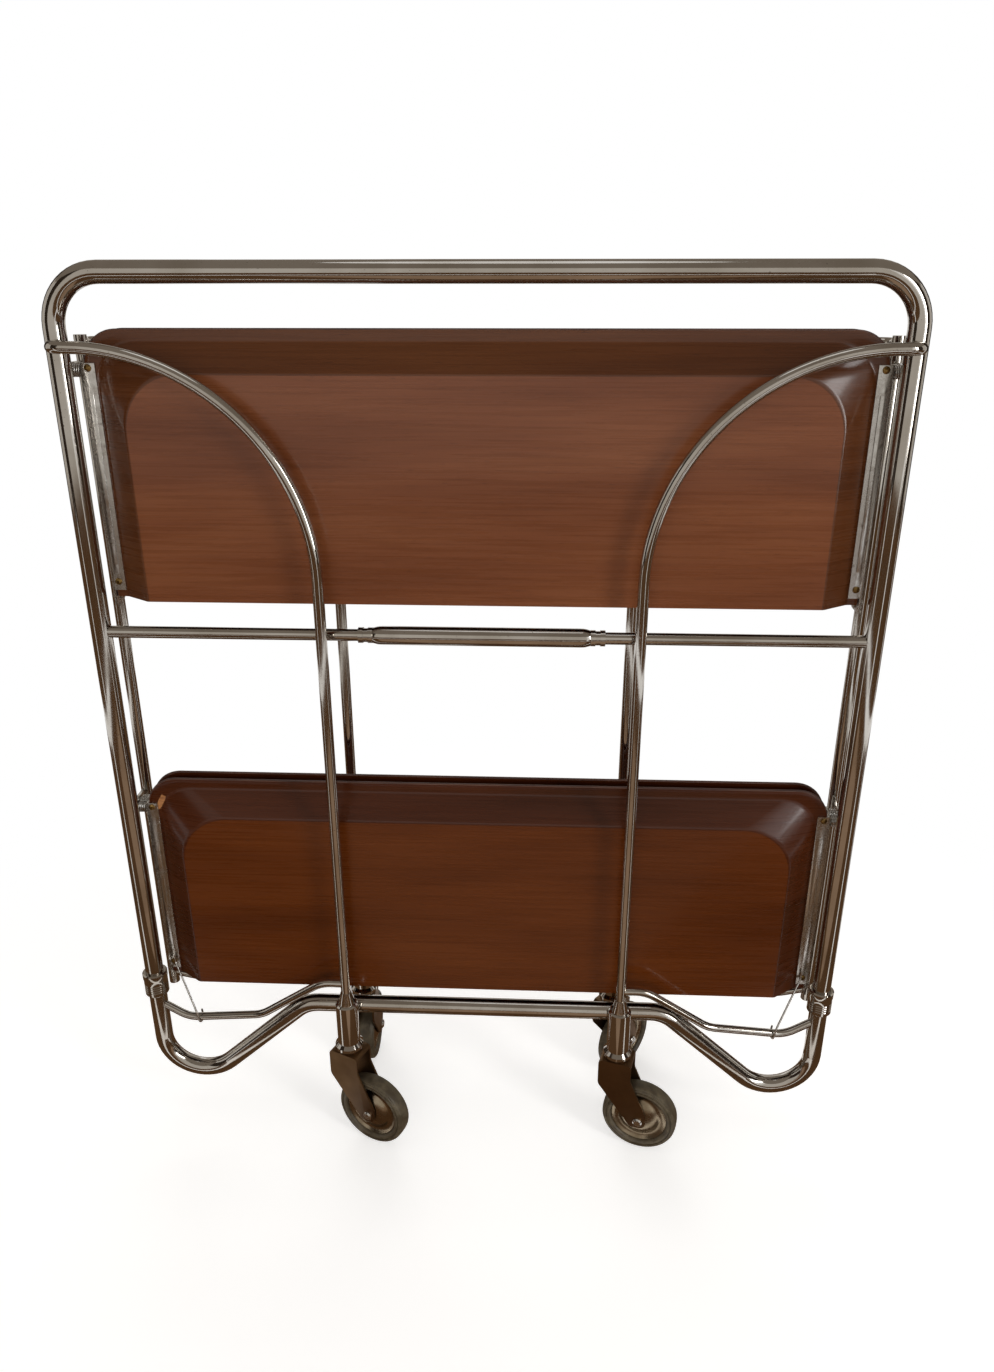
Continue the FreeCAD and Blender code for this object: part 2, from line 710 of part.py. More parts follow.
def build_spring(tag, frame, side, z):
    """A torsion spring round a pivot pin: one unbroken wire in close turns with straight tails."""
    wire = number("spring_wire_diameter")
    radius = number("spring_diameter / 2")
    pitch = number("spring_pitch")
    tail = number("spring_tail_length")
    room_start = number(f"{side_leaf_start(frame)} + leaf_thickness")
    room_end = number(f"{lug_middle(frame)} - pivot_lug_thickness / 2")
    slack = room_end - room_start - pitch * SPRING_TURNS
    base = Vector(side * (room_start + slack / 2), number(pivot_y(frame)), z)
    edges = []
    quarters = 4 * SPRING_TURNS
    point, way = helix_frame(base, side, frame, radius, pitch, 0)
    edges.append(Part.LineSegment(point - way * tail, point).toShape())
    start = point - way * tail
    first_way = way
    for quarter in range(quarters):
        end, end_way = helix_frame(base, side, frame, radius, pitch, (quarter + 1) / 4)
        edges += [arc.toShape() for arc in biarc(point, way, end, end_way)]
        point, way = end, end_way
    edges.append(Part.LineSegment(point, point + way * tail).toShape())
    gap = coil_gap(edges, wire, 2 * math.pi * radius)
    print(f"spring_{tag}: least gap between turns {gap:.2f} mm, end gap {(slack - wire) / 2:.2f} mm")
    item = document.addObject("Part::Feature", f"spring_{tag}")
    item.Shape = tube_along(Part.Wire(edges), start, first_way, wire / 2)
    return item


def build_hook_wires(frame):
    """Sprung wires that wrap the stays and hook up in front of the lower tray's brackets."""
    wires = []
    wire = number("hook_wire_diameter")
    ring = number("stay_diameter / 2 + hook_ring_gap") + wire / 2
    bend = number("hook_bend_radius")
    tip_z = number("hook_tip_height")
    tip_run = number("hook_tip_length")
    face = number("board_thickness + leaf_thickness + bead_height + leaf_clearance") + wire / 2
    tip_y = number(pivot_y(frame)) + frame * face
    tip_x = number("tray_length / 2 - leaf_width / 2")
    for side in (LEFT, RIGHT):
        points = stay_points(frame, side)
        share = (HOOK_SPAN_SHARE - STAY_SPAN_SHARES[0]) / (STAY_SPAN_SHARES[1] - STAY_SPAN_SHARES[0])
        centre = points[1] + (points[2] - points[1]) * share
        run = (points[2] - points[1]).normalize()
        outward = Vector(run.y, -run.x, 0).normalize()
        outward = outward if outward.y * frame > 0 else outward * -1
        up = outward.cross(run)
        up = up if up.z > 0 else up * -1
        path = [
            centre - outward * ring + up * ring,
            centre - outward * ring - up * ring,
            centre + outward * ring - up * ring,
            centre + outward * ring + up * (ring + bend),
            Vector(side * tip_x, tip_y, tip_z - tip_run),
            Vector(side * tip_x, tip_y, tip_z)]
        radii = [0, ring * HOOK_ROUND_SHARE, ring * HOOK_ROUND_SHARE, bend, bend, 0]
        item = document.addObject("Part::Feature", f"{FRAME_NAMES[frame]}_wire_{SIDE_NAMES[side]}")
        item.Shape = bent_tube(path, radii, wire / 2)
        wires.append(item)
    group(f"{FRAME_NAMES[frame]}_hook_wires", wires)


# Half trays, built lying against Y = 0 with the rim's top face there, the straight edge at Z = 0

def stand_tray_piece(item, frame, edge):
    """Hangs a piece of a half tray in its place, its underside facing away from the other half."""
    if frame == REAR:
        return place(item, "0", pivot_y(frame), edge, Vector(0, 0, 1), "180")
    return place(item, "0", pivot_y(frame), edge)


def tray_outline(sketch, inset, radius, drop):
    """Three sides of a half tray set in from its rim, and its straight edge lowered by a drop."""
    half = f"(tray_length / 2 - {inset})"
    top = f"(tray_width - {inset})"
    draw_outline(sketch, [
        (f"-{half}", f"-{drop}"), (half, f"-{drop}"), (half, top, radius), (f"-{half}", top, radius)])


SCREW_X = "(tray_length / 2 + leaf_clearance + leaf_thickness - leaf_width / 2)"
SCREW_HEIGHTS = ("(leaf_start + screw_end_margin)", "(pivot_rise + lug_radius - screw_end_margin / 2)")


def build_board(tier, frame):
    """The moulded board: flat rim, sloping wall on three sides, flat panel; open at the straight edge."""
    label = f"{tier}_{FRAME_NAMES[frame]}_tray_board"
    slope = "sqrt(wall_run ^ 2 + (tray_depth - board_thickness) ^ 2)"
    inset = f"board_thickness * ({slope} - wall_run) / (tray_depth - board_thickness)"
    body = new_body(label + "_body")
    rim = new_sketch(body, "XZ_Plane")
    tray_outline(rim, "0", "rim_corner_radius", "0")
    for side in (LEFT, RIGHT):
        for height in SCREW_HEIGHTS:
            draw_circle(rim, f"{side} * {SCREW_X}", height, "screw_diameter / 2 + running_clearance")
    pad(body, rim, "board_thickness", symmetric=False)
    top = new_sketch(body, "XZ_Plane", "board_thickness")
    tray_outline(top, "flange_width", "panel_corner_radius", "0")
    bottom = new_sketch(body, "XZ_Plane", "tray_depth")
    tray_outline(bottom, "(flange_width + wall_run)", "panel_corner_radius", "0")
    dish = body.newObject("PartDesign::AdditiveLoft", label + "_dish")
    dish.Profile = top
    dish.Sections = [bottom]
    dish.Ruled = True
    mouth = new_sketch(body, "XZ_Plane")
    tray_outline(mouth, f"(flange_width + {inset})", "panel_corner_radius", "cut_overrun")
    floor = new_sketch(body, "XZ_Plane", "tray_depth - board_thickness")
    tray_outline(floor, f"(flange_width + wall_run + {inset})", "panel_corner_radius", "cut_overrun")
    hollow = body.newObject("PartDesign::SubtractiveLoft", label + "_hollow")
    hollow.Profile = mouth
    hollow.Sections = [floor]
    hollow.Ruled = True
    keep(stand_tray_piece(body, frame, TIER_EDGES[tier]), label)


def build_bracket(tier, frame, side):
    """An angle bracket: a beaded face leaf under the rim, and a side leaf with the pivot and hinge eyes."""
    label = f"{tier}_{FRAME_NAMES[frame]}_{SIDE_NAMES[side]}_bracket"
    hand = side if frame == FRONT else -side
    body = new_body(label + "_body")
    leaf = side_leaf_start(frame)
    top = "(pivot_rise + lug_radius)"
    outer = f"({leaf} + leaf_thickness)"
    inner = "(tray_length / 2 + leaf_clearance + leaf_thickness - leaf_width)"
    face = new_sketch(body, "XZ_Plane", "board_thickness + leaf_thickness / 2")
    draw_outline(face, [
        (f"{hand} * {inner}", "leaf_start"), (f"{hand} * {outer}", "leaf_start"),
        (f"{hand} * {outer}", top), (f"{hand} * {inner}", top)])
    for height in SCREW_HEIGHTS:
        draw_circle(face, f"{hand} * {SCREW_X}", height, "screw_diameter / 2 + running_clearance")
    pad(body, face, "leaf_thickness")

    side_leaf = new_sketch(body, "YZ_Plane", f"{hand} * ({leaf} + leaf_thickness / 2)")
    hinge_y = "rim_gap / 2"
    hinge_z = "-hinge_drop"
    back = "-(board_thickness + leaf_thickness)"
    draw_outline(side_leaf, [
        (back, f"{hinge_z} - lug_radius"),
        (f"{hinge_y} + lug_radius", f"{hinge_z} - lug_radius", "lug_radius / 2"),
        (f"{hinge_y} + lug_radius", f"{hinge_z} + lug_radius", "lug_radius / 2"),
        ("side_leaf_lip", f"{hinge_z} + lug_radius + lug_slope_length"),
        ("side_leaf_lip", f"{top} - lug_slope_length - lug_radius"),
        ("lug_radius", f"{top} - lug_slope_length"), ("lug_radius", top, "lug_radius / 2"), (back, top)])
    draw_circle(side_leaf, "0", "pivot_rise", "pivot_pin_diameter / 2 + running_clearance")
    draw_circle(side_leaf, hinge_y, hinge_z, "hinge_pin_diameter / 2 + running_clearance")
    pad(body, side_leaf, "leaf_thickness")

    bead = new_sketch(body, "XZ_Plane", "board_thickness + leaf_thickness")
    bead_x = f"({SCREW_X} - bead_width / 2)"
    bead_low = "(leaf_start + bead_end_margin)"
    bead_top = f"({top} - bead_end_margin)"
    draw_outline(bead, [
        (f"{hand} * {bead_x}", bead_low), (f"{hand} * ({bead_x} + bead_width)", bead_low),
        (f"{hand} * ({bead_x} + bead_width)", bead_top), (f"{hand} * {bead_x}", bead_top)])
    pad(body, bead, "bead_height", symmetric=False)
    keep(stand_tray_piece(body, frame, TIER_EDGES[tier]), label)


def build_screws(tier, frame):
    """Bracket screws: domed heads with a driver recess on the face leaves, shanks into the rim."""
    grip = "board_thickness + leaf_thickness"
    shank = "screw_diameter / 2"
    head = "screw_head_diameter / 2"
    tip = f"{grip} + screw_head_height"
    recess = "screw_recess_diameter / 2"
    screws = []
    for side in (LEFT, RIGHT):
        for index, height in enumerate(SCREW_HEIGHTS):
            screw = turned(f"screw_{tier}_{FRAME_NAMES[frame]}_{SIDE_NAMES[side]}_{index + 1}", [
                ("0", "0"), (shank, "0"), (shank, grip), (head, grip),
                (f"{head} * {SCREW_DOME_SHARE}", f"{grip} + screw_head_height / 2"),
                (recess, tip), (recess, f"{tip} - screw_recess_depth"), ("0", f"{tip} - screw_recess_depth")])
            z = f"{TIER_EDGES[tier]} + {height}"
            place(screw, f"{side} * {SCREW_X}", pivot_y(frame), z, Vector(1, 0, 0), f"{-frame} * 90")
            screws.append(screw)
    group(f"{tier}_{FRAME_NAMES[frame]}_bracket_screws", screws)


def build_hinge_pins(tier):
    """Headed pins through the lower eyes of both trays' side leaves."""
    front = side_leaf_start(FRONT)
    rear = side_leaf_start(REAR)
    body_length = f"({rear} + leaf_thickness - {front} + 2 * leaf_clearance)"
    shank = "hinge_pin_diameter / 2"
    head = "hinge_head_diameter / 2"
    pins = []
    for side in (LEFT, RIGHT):
        pin = turned(f"hinge_pin_{tier}_{SIDE_NAMES[side]}", [
            ("0", "-hinge_head_length"), (head, "-hinge_head_length"), (head, "0"), (shank, "0"),
            (shank, body_length), (head, body_length), (head, f"{body_length} + hinge_head_length"),
            ("0", f"{body_length} + hinge_head_length")])
        x = f"{side} * ({front} - leaf_clearance)"
        z = f"{TIER_EDGES[tier]} - hinge_drop"
        pins.append(place(pin, x, "middle", z, Vector(0, 1, 0), f"{side} * 90"))
    group(f"{tier}_hinge_pins", pins)


# Castors, built with the stem at X = 0 and the wheel trailing to +X

def castor_turn(frame, side):
    """How far a castor is turned about its stem."""
    return f"({frame} * {FRAME_NAMES[frame]}_{SIDE_NAMES[side]}_castor_turn)"


def stand_castor_piece(item, frame, side):
    """Stands a castor piece under its leg, turned as it happens to trail."""
    x = f"{side} * leg_width / 2"
    return place(item, x, leg_y(frame), "0", Vector(0, 0, 1), castor_turn(frame, side))


def stand_wheel_piece(item, frame, side):
    """Stands a wheel piece, turned about its own Z axis, on its axle line."""
    angle = castor_turn(frame, side)
    x = f"{side} * leg_width / 2 + castor_trail * cos({angle})"
    y = f"{leg_y(frame)} + castor_trail * sin({angle})"
    place(item, x, y, "wheel_diameter / 2")
    turn = FreeCAD.Rotation(Vector(0, 0, 1), number(angle))
    item.Placement.Rotation = turn.multiply(FreeCAD.Rotation(Vector(1, 0, 0), 90))
    return item


def build_castor(frame, side):
    """A swivelling castor: stamped fork with its kingpin, an axle, a domed hub and a tyre."""
    tag = f"{FRAME_NAMES[frame]}_{SIDE_NAMES[side]}"
    fork = new_body(f"{tag}_fork_body")
    top = "(socket_foot_height - fork_top_gap)"
    head = "fork_head_length / 2"
    axle_z = "wheel_diameter / 2"
    eye_round = f"fork_eye_radius * {EYE_ROUND_SHARE}"
    cheeks = new_sketch(fork, "XZ_Plane")
    draw_outline(cheeks, [
        (f"-{head}", top, "fork_top_thickness"), (head, top, "fork_top_thickness"),
        (head, f"{top} - fork_head_height", "fork_bend_radius"),
        ("castor_trail + fork_eye_radius", f"{axle_z} + fork_eye_radius", "fork_eye_radius / 2"),
        ("castor_trail + fork_eye_radius", f"{axle_z} - fork_eye_radius", eye_round),
        ("castor_trail - fork_eye_radius", f"{axle_z} - fork_eye_radius", eye_round),
        (f"-{head}", f"{top} - fork_head_height - fork_bend_radius", "fork_bend_radius")])
    pad(fork, cheeks, "fork_width")
    gap = new_sketch(fork, "XZ_Plane")
    draw_outline(gap, [
        (f"-{head} - cut_overrun", "-cut_overrun"), ("castor_trail + fork_head_length", "-cut_overrun"),
        ("castor_trail + fork_head_length", f"{top} - fork_top_thickness"),
        (f"-{head} - cut_overrun", f"{top} - fork_top_thickness")])
    pocket(fork, gap, "fork_width - 2 * fork_wall")
    eye = new_sketch(fork, "XZ_Plane")
    draw_circle(eye, "castor_trail", axle_z, "axle_diameter / 2 + running_clearance")
    pocket(fork, eye, "fork_width + cut_overrun")
    stem = new_sketch(fork, "XY_Plane", top)
    draw_circle(stem, "0", "0", "kingpin_diameter / 2")
    pad(fork, stem, "kingpin_length", symmetric=False)
    keep(stand_castor_piece(fork, frame, side), f"{tag}_castor_fork")

    half = "fork_width / 2"
    shank = "axle_diameter / 2"
    bolt_head = "axle_head_diameter / 2"
    end = f"({half} + axle_head_length)"
    axle = turned(f"{tag}_axle_body", [
        ("0", f"-{end}"), (f"{bolt_head} * {AXLE_DOME_SHARE}", f"-{end}"),
        (bolt_head, f"-{half} - axle_head_length / 2"),
        (bolt_head, f"-{half}"), (shank, f"-{half}"), (shank, half), (bolt_head, half),
        (bolt_head, f"{half} + axle_head_length / 2"), (f"{bolt_head} * {AXLE_DOME_SHARE}", end), ("0", end)])
    keep(stand_wheel_piece(axle, frame, side), f"{tag}_castor_axle")

    bore = "(axle_diameter / 2 + running_clearance)"
    wide = "hub_width / 2"
    rim = "hub_rim_width / 2"
    boss = "hub_boss_diameter / 2"
    dome = "hub_dome_diameter / 2"
    dish = "hub_dish_diameter / 2"
    seat = "tyre_bore_diameter / 2"
    shoulder = f"({wide} + {rim}) / 2"
    hub = turned(f"{tag}_hub_body", [
        (bore, f"-{wide}"), (boss, f"-{wide}"), (dome, f"-{shoulder}"), (dish, f"-{rim}"), (seat, f"-{rim}"),
        (seat, rim), (dish, rim), (dome, shoulder), (boss, wide), (bore, wide)])
    keep(stand_wheel_piece(hub, frame, side), f"{tag}_wheel_hub")

    tread = "wheel_diameter / 2"
    side_wall = "tyre_width / 2"
    bead = "tyre_bead_width / 2"
    swell = "(tyre_bore_diameter / 2 + wheel_diameter / 2) / 2"
    tyre = turned(f"{tag}_tyre_body", [
        (seat, f"-{bead}"), (swell, f"-{side_wall}"), (tread, f"-{side_wall}", "tyre_shoulder_radius"),
        (tread, side_wall, "tyre_shoulder_radius"), (swell, side_wall), (seat, bead)])
    keep(stand_wheel_piece(tyre, frame, side), f"{tag}_wheel_tyre")


# The whole trolley

build_loop()
build_collars()
build_carry_bar()
build_rear_posts()
build_tie_bar()
for frame in (FRONT, REAR):
    for side in (LEFT, RIGHT):
        build_leg(frame, side)
        build_stay(frame, side)
    build_sockets(frame)
    build_pivot_hardware(frame)
    build_hook_wires(frame)
for tier in TIER_EDGES:
    for frame in (FRONT, REAR):
        build_board(tier, frame)
        for side in (LEFT, RIGHT):
            build_bracket(tier, frame, side)
        build_screws(tier, frame)
    build_hinge_pins(tier)
for frame in (FRONT, REAR):
    for side in (LEFT, RIGHT):
        build_castor(frame, side)

document.recompute()
for item in document.Objects:
    if "Invalid" in item.State or "Error" in item.State:
        raise RuntimeError(f"{item.Name} did not build")
for item in parts:
    if item.Shape.isNull() or not item.Shape.isValid() or not item.Shape.Solids:
        raise RuntimeError(f"{item.Label} has no valid solid")

os.makedirs("parts", exist_ok=True)
for item in parts:
    item.Shape.exportStep(f"parts/{item.Label}.step")
print(f"{len(parts)} sub-parts written")
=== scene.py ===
"""Folding tea trolley, folded flat: finishes and finer shapes around the fixed construction."""
import json
import logging
import math
from dataclasses import dataclass, field
from enum import Enum
from typing import Any

import bmesh
import bpy
from mathutils import Matrix, Vector


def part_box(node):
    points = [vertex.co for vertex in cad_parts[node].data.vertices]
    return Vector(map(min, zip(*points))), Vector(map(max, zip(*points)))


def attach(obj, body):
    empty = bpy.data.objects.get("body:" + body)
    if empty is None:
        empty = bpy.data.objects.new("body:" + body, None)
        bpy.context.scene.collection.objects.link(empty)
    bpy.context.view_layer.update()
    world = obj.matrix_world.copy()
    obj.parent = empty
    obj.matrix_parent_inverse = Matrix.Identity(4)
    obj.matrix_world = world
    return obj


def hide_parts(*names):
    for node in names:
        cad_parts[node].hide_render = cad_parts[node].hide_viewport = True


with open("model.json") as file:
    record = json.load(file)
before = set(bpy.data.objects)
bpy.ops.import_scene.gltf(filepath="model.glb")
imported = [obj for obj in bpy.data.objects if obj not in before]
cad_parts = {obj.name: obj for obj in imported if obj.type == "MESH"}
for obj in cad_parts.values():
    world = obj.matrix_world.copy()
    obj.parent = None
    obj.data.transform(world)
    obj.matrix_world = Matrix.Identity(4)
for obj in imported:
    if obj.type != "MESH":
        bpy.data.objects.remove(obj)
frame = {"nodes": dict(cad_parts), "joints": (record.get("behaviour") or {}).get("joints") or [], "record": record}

log = logging.getLogger("tea_trolley")

# One millimetre in the frame's metres
MM = 0.001
BOARD_THICKNESS = 3.5 * MM
IMAGE_HEIGHT = 1372
WHITE = "#ffffff"
BLACK = "#000000"

Colour = tuple[float, float, float, float]
Place = tuple[float, float, float]
Range = tuple[float, float]
Profile = list[tuple[float, float]]
Stops = tuple[tuple[float, str], ...]
Sectors = tuple[Range, ...]


class Tier(Enum):
    """The two levels of trays."""

    UPPER = "upper"
    LOWER = "lower"


class End(Enum):
    """The two frames, one on each side of the middle plane."""

    FRONT = "front"
    REAR = "rear"

    @property
    def sign(self) -> int:
        """-1 in front of the middle plane and 1 behind it."""
        return -1 if self is End.FRONT else 1


class Side(Enum):
    """Left and right as seen from the front."""

    LEFT = "left"
    RIGHT = "right"


# Shader helpers

def srgb(code: str) -> Colour:
    """Turns an sRGB hex colour into linear values.

    Args:
        code: a colour such as "#5a3a2e".

    Returns:
        Linear red, green and blue, and an alpha of 1.
    """
    channels = [int(code[place:place + 2], 16) / 255 for place in (1, 3, 5)]
    linear = [value / 12.92 if value <= 0.04045 else ((value + 0.055) / 1.055) ** 2.4 for value in channels]
    return (linear[0], linear[1], linear[2], 1.0)


def per_metre(size_mm: float) -> float:
    """Texture scale at which one unit of a pattern is so many millimetres."""
    return 1.0 / (size_mm * MM)


class Shading:
    """A node tree that is built up node by node."""

    def __init__(self, tree: bpy.types.NodeTree) -> None:
        """Takes over a tree and empties it.

        Args:
            tree: the tree of a material or a world.
        """
        self.tree = tree
        tree.nodes.clear()

    def feed(self, node: bpy.types.Node, sockets: dict[Any, Any]) -> None:
        """Sets or links a node's inputs.

        Args:
            node: the node to feed.
            sockets: for each input, by name or number, a value, an output socket, or a node for
                its first output.
        """
        for name, value in sockets.items():
            source = value.outputs[0] if isinstance(value, bpy.types.Node) else value
            if isinstance(source, bpy.types.NodeSocket):
                self.tree.links.new(source, node.inputs[name])
            else:
                node.inputs[name].default_value = source

    def add(self, kind: str, sockets: dict[Any, Any] | None = None, stops: Stops = (),
            **settings: Any) -> bpy.types.Node:
        """Adds a node with its settings and links.

        Args:
            kind: the node's type name, without its ShaderNode prefix.
            sockets: what its inputs take, as for feed.
            stops: positions and hex colours of a colour ramp.
            settings: fields of the node itself.

        Returns:
            The new node.
        """
        node = self.tree.nodes.new("ShaderNode" + kind)
        for name, value in settings.items():
            setattr(node, name, value)
        self.feed(node, sockets or {})
        for index, (position, code) in enumerate(stops):
            ramp = node.color_ramp.elements
            stop = ramp[index] if index < len(ramp) else ramp.new(position)
            stop.position = position
            stop.color = srgb(code)
        return node


class Material(Shading):
    """A new principled material."""

    def __init__(self, name: str) -> None:
        """Makes the material with its shader.

        Args:
            name: what the real material is.
        """
        self.block = bpy.data.materials.new(name)
        self.block.use_nodes = True
        super().__init__(self.block.node_tree)
        self.shader = self.add("BsdfPrincipled")
        self.output = self.add("OutputMaterial", {"Surface": self.shader})
        self.place = self.add("TexCoord").outputs["Object"]


# Finishes

@dataclass(frozen=True)
class ChromedTube:
    """Steel tube polished and chrome plated: a mirror, faintly hazed by age, with fine pits."""

    plate: Stops = ((0.4, "#c6c1ba"), (0.66, "#b3aca2"))
    pit: str = "#6b6158"
    haze_mm: float = 55.0
    pit_mm: float = 1.6
    pit_depth_mm: float = 0.03
    polished_roughness: float = 0.06
    hazed_roughness: float = 0.13

    def build(self) -> bpy.types.Material:
        """Makes the material.

        Returns:
            The new material.
        """
        finish = Material("chrome_plated_steel")
        haze = finish.add("TexNoise", {"Vector": finish.place, "Scale": per_metre(self.haze_mm),
                                       "Detail": 4.0})
        plate = finish.add("ValToRGB", {"Fac": haze}, stops=self.plate)
        specks = finish.add("TexNoise", {"Vector": finish.place, "Scale": per_metre(self.pit_mm),
                                         "Detail": 2.0})
        pits = finish.add("MapRange", {"Value": specks, "From Min": 0.7, "From Max": 0.76, "To Max": 0.7})
        pitted = finish.add("Mix", {0: pits, 6: plate, 7: srgb(self.pit)}, data_type="RGBA")
        gloss = finish.add("MapRange", {"Value": haze, "From Min": 0.35, "From Max": 0.7,
                                        "To Min": self.polished_roughness, "To Max": self.hazed_roughness})
        relief = finish.add("Bump", {"Height": pits, "Distance": self.pit_depth_mm * MM, "Strength": 0.3})
        finish.feed(finish.shader, {"Base Color": pitted.outputs[2], "Roughness": gloss, "Normal": relief,
                                    "Metallic": 1.0})
        return finish.block


@dataclass(frozen=True)
class ZincPlate:
    """Pressed steel with bright zinc plating: paler than chrome, blurred, dulled in patches."""

    plate: Stops = ((0.35, "#dbdad7"), (0.7, "#bdb9b3"))
    stain: str = "#8a8178"
    patch_mm: float = 14.0
    stain_mm: float = 5.0
    grain_mm: float = 0.9
    grain_depth_mm: float = 0.02
    bright_roughness: float = 0.16
    dull_roughness: float = 0.32

    def build(self) -> bpy.types.Material:
        """Makes the material.

        Returns:
            The new material.
        """
        finish = Material("zinc_plated_steel")
        patch = finish.add("TexNoise", {"Vector": finish.place, "Scale": per_metre(self.patch_mm),
                                        "Detail": 5.0, "Roughness": 0.65})
        plate = finish.add("ValToRGB", {"Fac": patch}, stops=self.plate)
        spots = finish.add("TexNoise", {"Vector": finish.place, "Scale": per_metre(self.stain_mm),
                                        "Detail": 4.0})
        stains = finish.add("MapRange", {"Value": spots, "From Min": 0.6, "From Max": 0.75, "To Max": 0.7})
        stained = finish.add("Mix", {0: stains, 6: plate, 7: srgb(self.stain)}, data_type="RGBA")
        gloss = finish.add("MapRange", {"Value": patch, "From Min": 0.3, "From Max": 0.7,
                                        "To Min": self.bright_roughness, "To Max": self.dull_roughness})
        grain = finish.add("TexNoise", {"Vector": finish.place, "Scale": per_metre(self.grain_mm),
                                        "Detail": 2.0})
        relief = finish.add("Bump", {"Height": grain, "Distance": self.grain_depth_mm * MM, "Strength": 0.12})
        finish.feed(finish.shader, {"Base Color": stained.outputs[2], "Roughness": gloss, "Normal": relief,
                                    "Metallic": 1.0})
        return finish.block


@dataclass(frozen=True)
class PatchedMetal:
    """Bare or lacquered metal whose gleam is duller in soft patches of tarnish or dust."""

    name: str
    plate: Stops
    patch_mm: float
    # Noise detail and roughness of the patches
    patch_noise: Range
    # Noise values between which the gloss goes from smooth to rough
    gloss_from: Range
    smooth: float
    rough: float

    def build(self) -> bpy.types.Material:
        """Makes the material.

        Returns:
            The new material.
        """
        finish = Material(self.name)
        detail, roughness = self.patch_noise
        patch = finish.add("TexNoise", {"Vector": finish.place, "Scale": per_metre(self.patch_mm),
                                        "Detail": detail, "Roughness": roughness})
        plate = finish.add("ValToRGB", {"Fac": patch}, stops=self.plate)
        start, end = self.gloss_from
        gloss = finish.add("MapRange", {"Value": patch, "From Min": start, "From Max": end,
                                        "To Min": self.smooth, "To Max": self.rough})
        finish.feed(finish.shader, {"Base Color": plate, "Roughness": gloss, "Metallic": 1.0})
        return finish.block


# Turned brass screw heads, browned in the recess and bright where a driver has rubbed them
TARNISHED_BRASS = PatchedMetal("tarnished_brass", ((0.4, "#a88a55"), (0.65, "#5c4626")), 2.4, (4.0, 0.6),
                               (0.35, 0.65), 0.25, 0.5)
# Pressed discs under yellowed lacquer: a soft bronze gleam, duller where dust has settled
LACQUERED_DISC = PatchedMetal("lacquered_wheel_disc", ((0.35, "#ab9d87"), (0.72, "#85755e")), 16.0,
                              (4.0, 0.5), (0.3, 0.7), 0.2, 0.34)
# Pressed forks, bronzed and dusty: dark and almost even
BRONZED_FORK = PatchedMetal("bronzed_fork_steel", ((0.35, "#7a5f42"), (0.72, "#664d34")), 30.0, (4.0, 0.5),
                            (0.3, 0.7), 0.38, 0.48)


@dataclass(frozen=True)
class Grain:
    """One scale of wood grain: noise drawn out along the board."""

    width_mm: float
    # Length of a streak as a multiple of its width
    length_share: float
    detail: float

    def draw(self, finish: Material, through_mm: float) -> bpy.types.Node:
        """Adds the grain to a finish.

        Args:
            finish: the material being made.
            through_mm: size of the pattern through the board's thickness.

        Returns:
            The noise node.
        """
        length_mm = self.width_mm * self.length_share
        scale = (per_metre(length_mm), per_metre(through_mm), per_metre(self.width_mm))
        stretched = finish.add("Mapping", {"Vector": finish.place, "Scale": scale})
        return finish.add("TexNoise", {"Vector": stretched, "Scale": 1.0, "Detail": self.detail})


@dataclass(frozen=True)
class WalnutLaminate:
    """Walnut veneer under satin lacquer on moulded ply: faint broad bands, fine streaks, short dark pores."""

    name: str
    light: str
    middle: str
    dark: str
    pore_colour: str = "#2c140b"
    streak_colour: str = "#cfc4bd"
    fibre_colour: str = "#c2b6ae"
    # How far streaks and fibres darken the bands
    streak_share: float = 0.28
    fibre_share: float = 0.3
    band: Grain = Grain(60.0, 7.2, 3.0)
    streak: Grain = Grain(3.4, 36.0, 3.0)
    # Real fibres and pores are a third of these widths, too fine to show in the render
    fibre: Grain = Grain(1.3, 72.0, 2.0)
    pore: Grain = Grain(1.1, 12.0, 1.0)
    fibre_depth_mm: float = 0.03
    # The veneer is one sheet, so its pattern runs straight through the bends
    through_mm: float = 1000.0
    smooth: float = 0.23
    rough: float = 0.33

    def build(self) -> bpy.types.Material:
        """Makes the material.

        Returns:
            The new material.
        """
        finish = Material(self.name)
        band, streak, fibre, pore = (grain.draw(finish, self.through_mm)
                                     for grain in (self.band, self.streak, self.fibre, self.pore))
        banded = finish.add("ValToRGB", {"Fac": band},
                            stops=((0.32, self.dark), (0.5, self.middle), (0.68, self.light)))
        streaks = finish.add("ValToRGB", {"Fac": streak}, stops=((0.32, self.streak_colour), (0.58, WHITE)))
        streaked = finish.add("Mix", {0: self.streak_share, 6: banded, 7: streaks}, data_type="RGBA",
                              blend_type="MULTIPLY")
        fibres = finish.add("ValToRGB", {"Fac": fibre}, stops=((0.34, self.fibre_colour), (0.56, WHITE)))
        fibrous = finish.add("Mix", {0: self.fibre_share, 6: streaked.outputs[2], 7: fibres},
                             data_type="RGBA", blend_type="MULTIPLY")
        pores = finish.add("MapRange", {"Value": pore, "From Min": 0.66, "From Max": 0.76, "To Max": 0.4})
        wood = finish.add("Mix", {0: pores, 6: fibrous.outputs[2], 7: srgb(self.pore_colour)},
                          data_type="RGBA")
        gloss = finish.add("MapRange", {"Value": streak, "From Min": 0.3, "From Max": 0.7,
                                        "To Min": self.smooth, "To Max": self.rough})
        relief = finish.add("Bump", {"Height": fibre, "Distance": self.fibre_depth_mm * MM, "Strength": 0.06})
        finish.feed(finish.shader, {"Base Color": wood.outputs[2], "Roughness": gloss, "Normal": relief,
                                    "IOR": 1.46, "Specular IOR Level": 0.26, "Coat Weight": 0.4,
                                    "Coat Roughness": 0.12})
        return finish.block


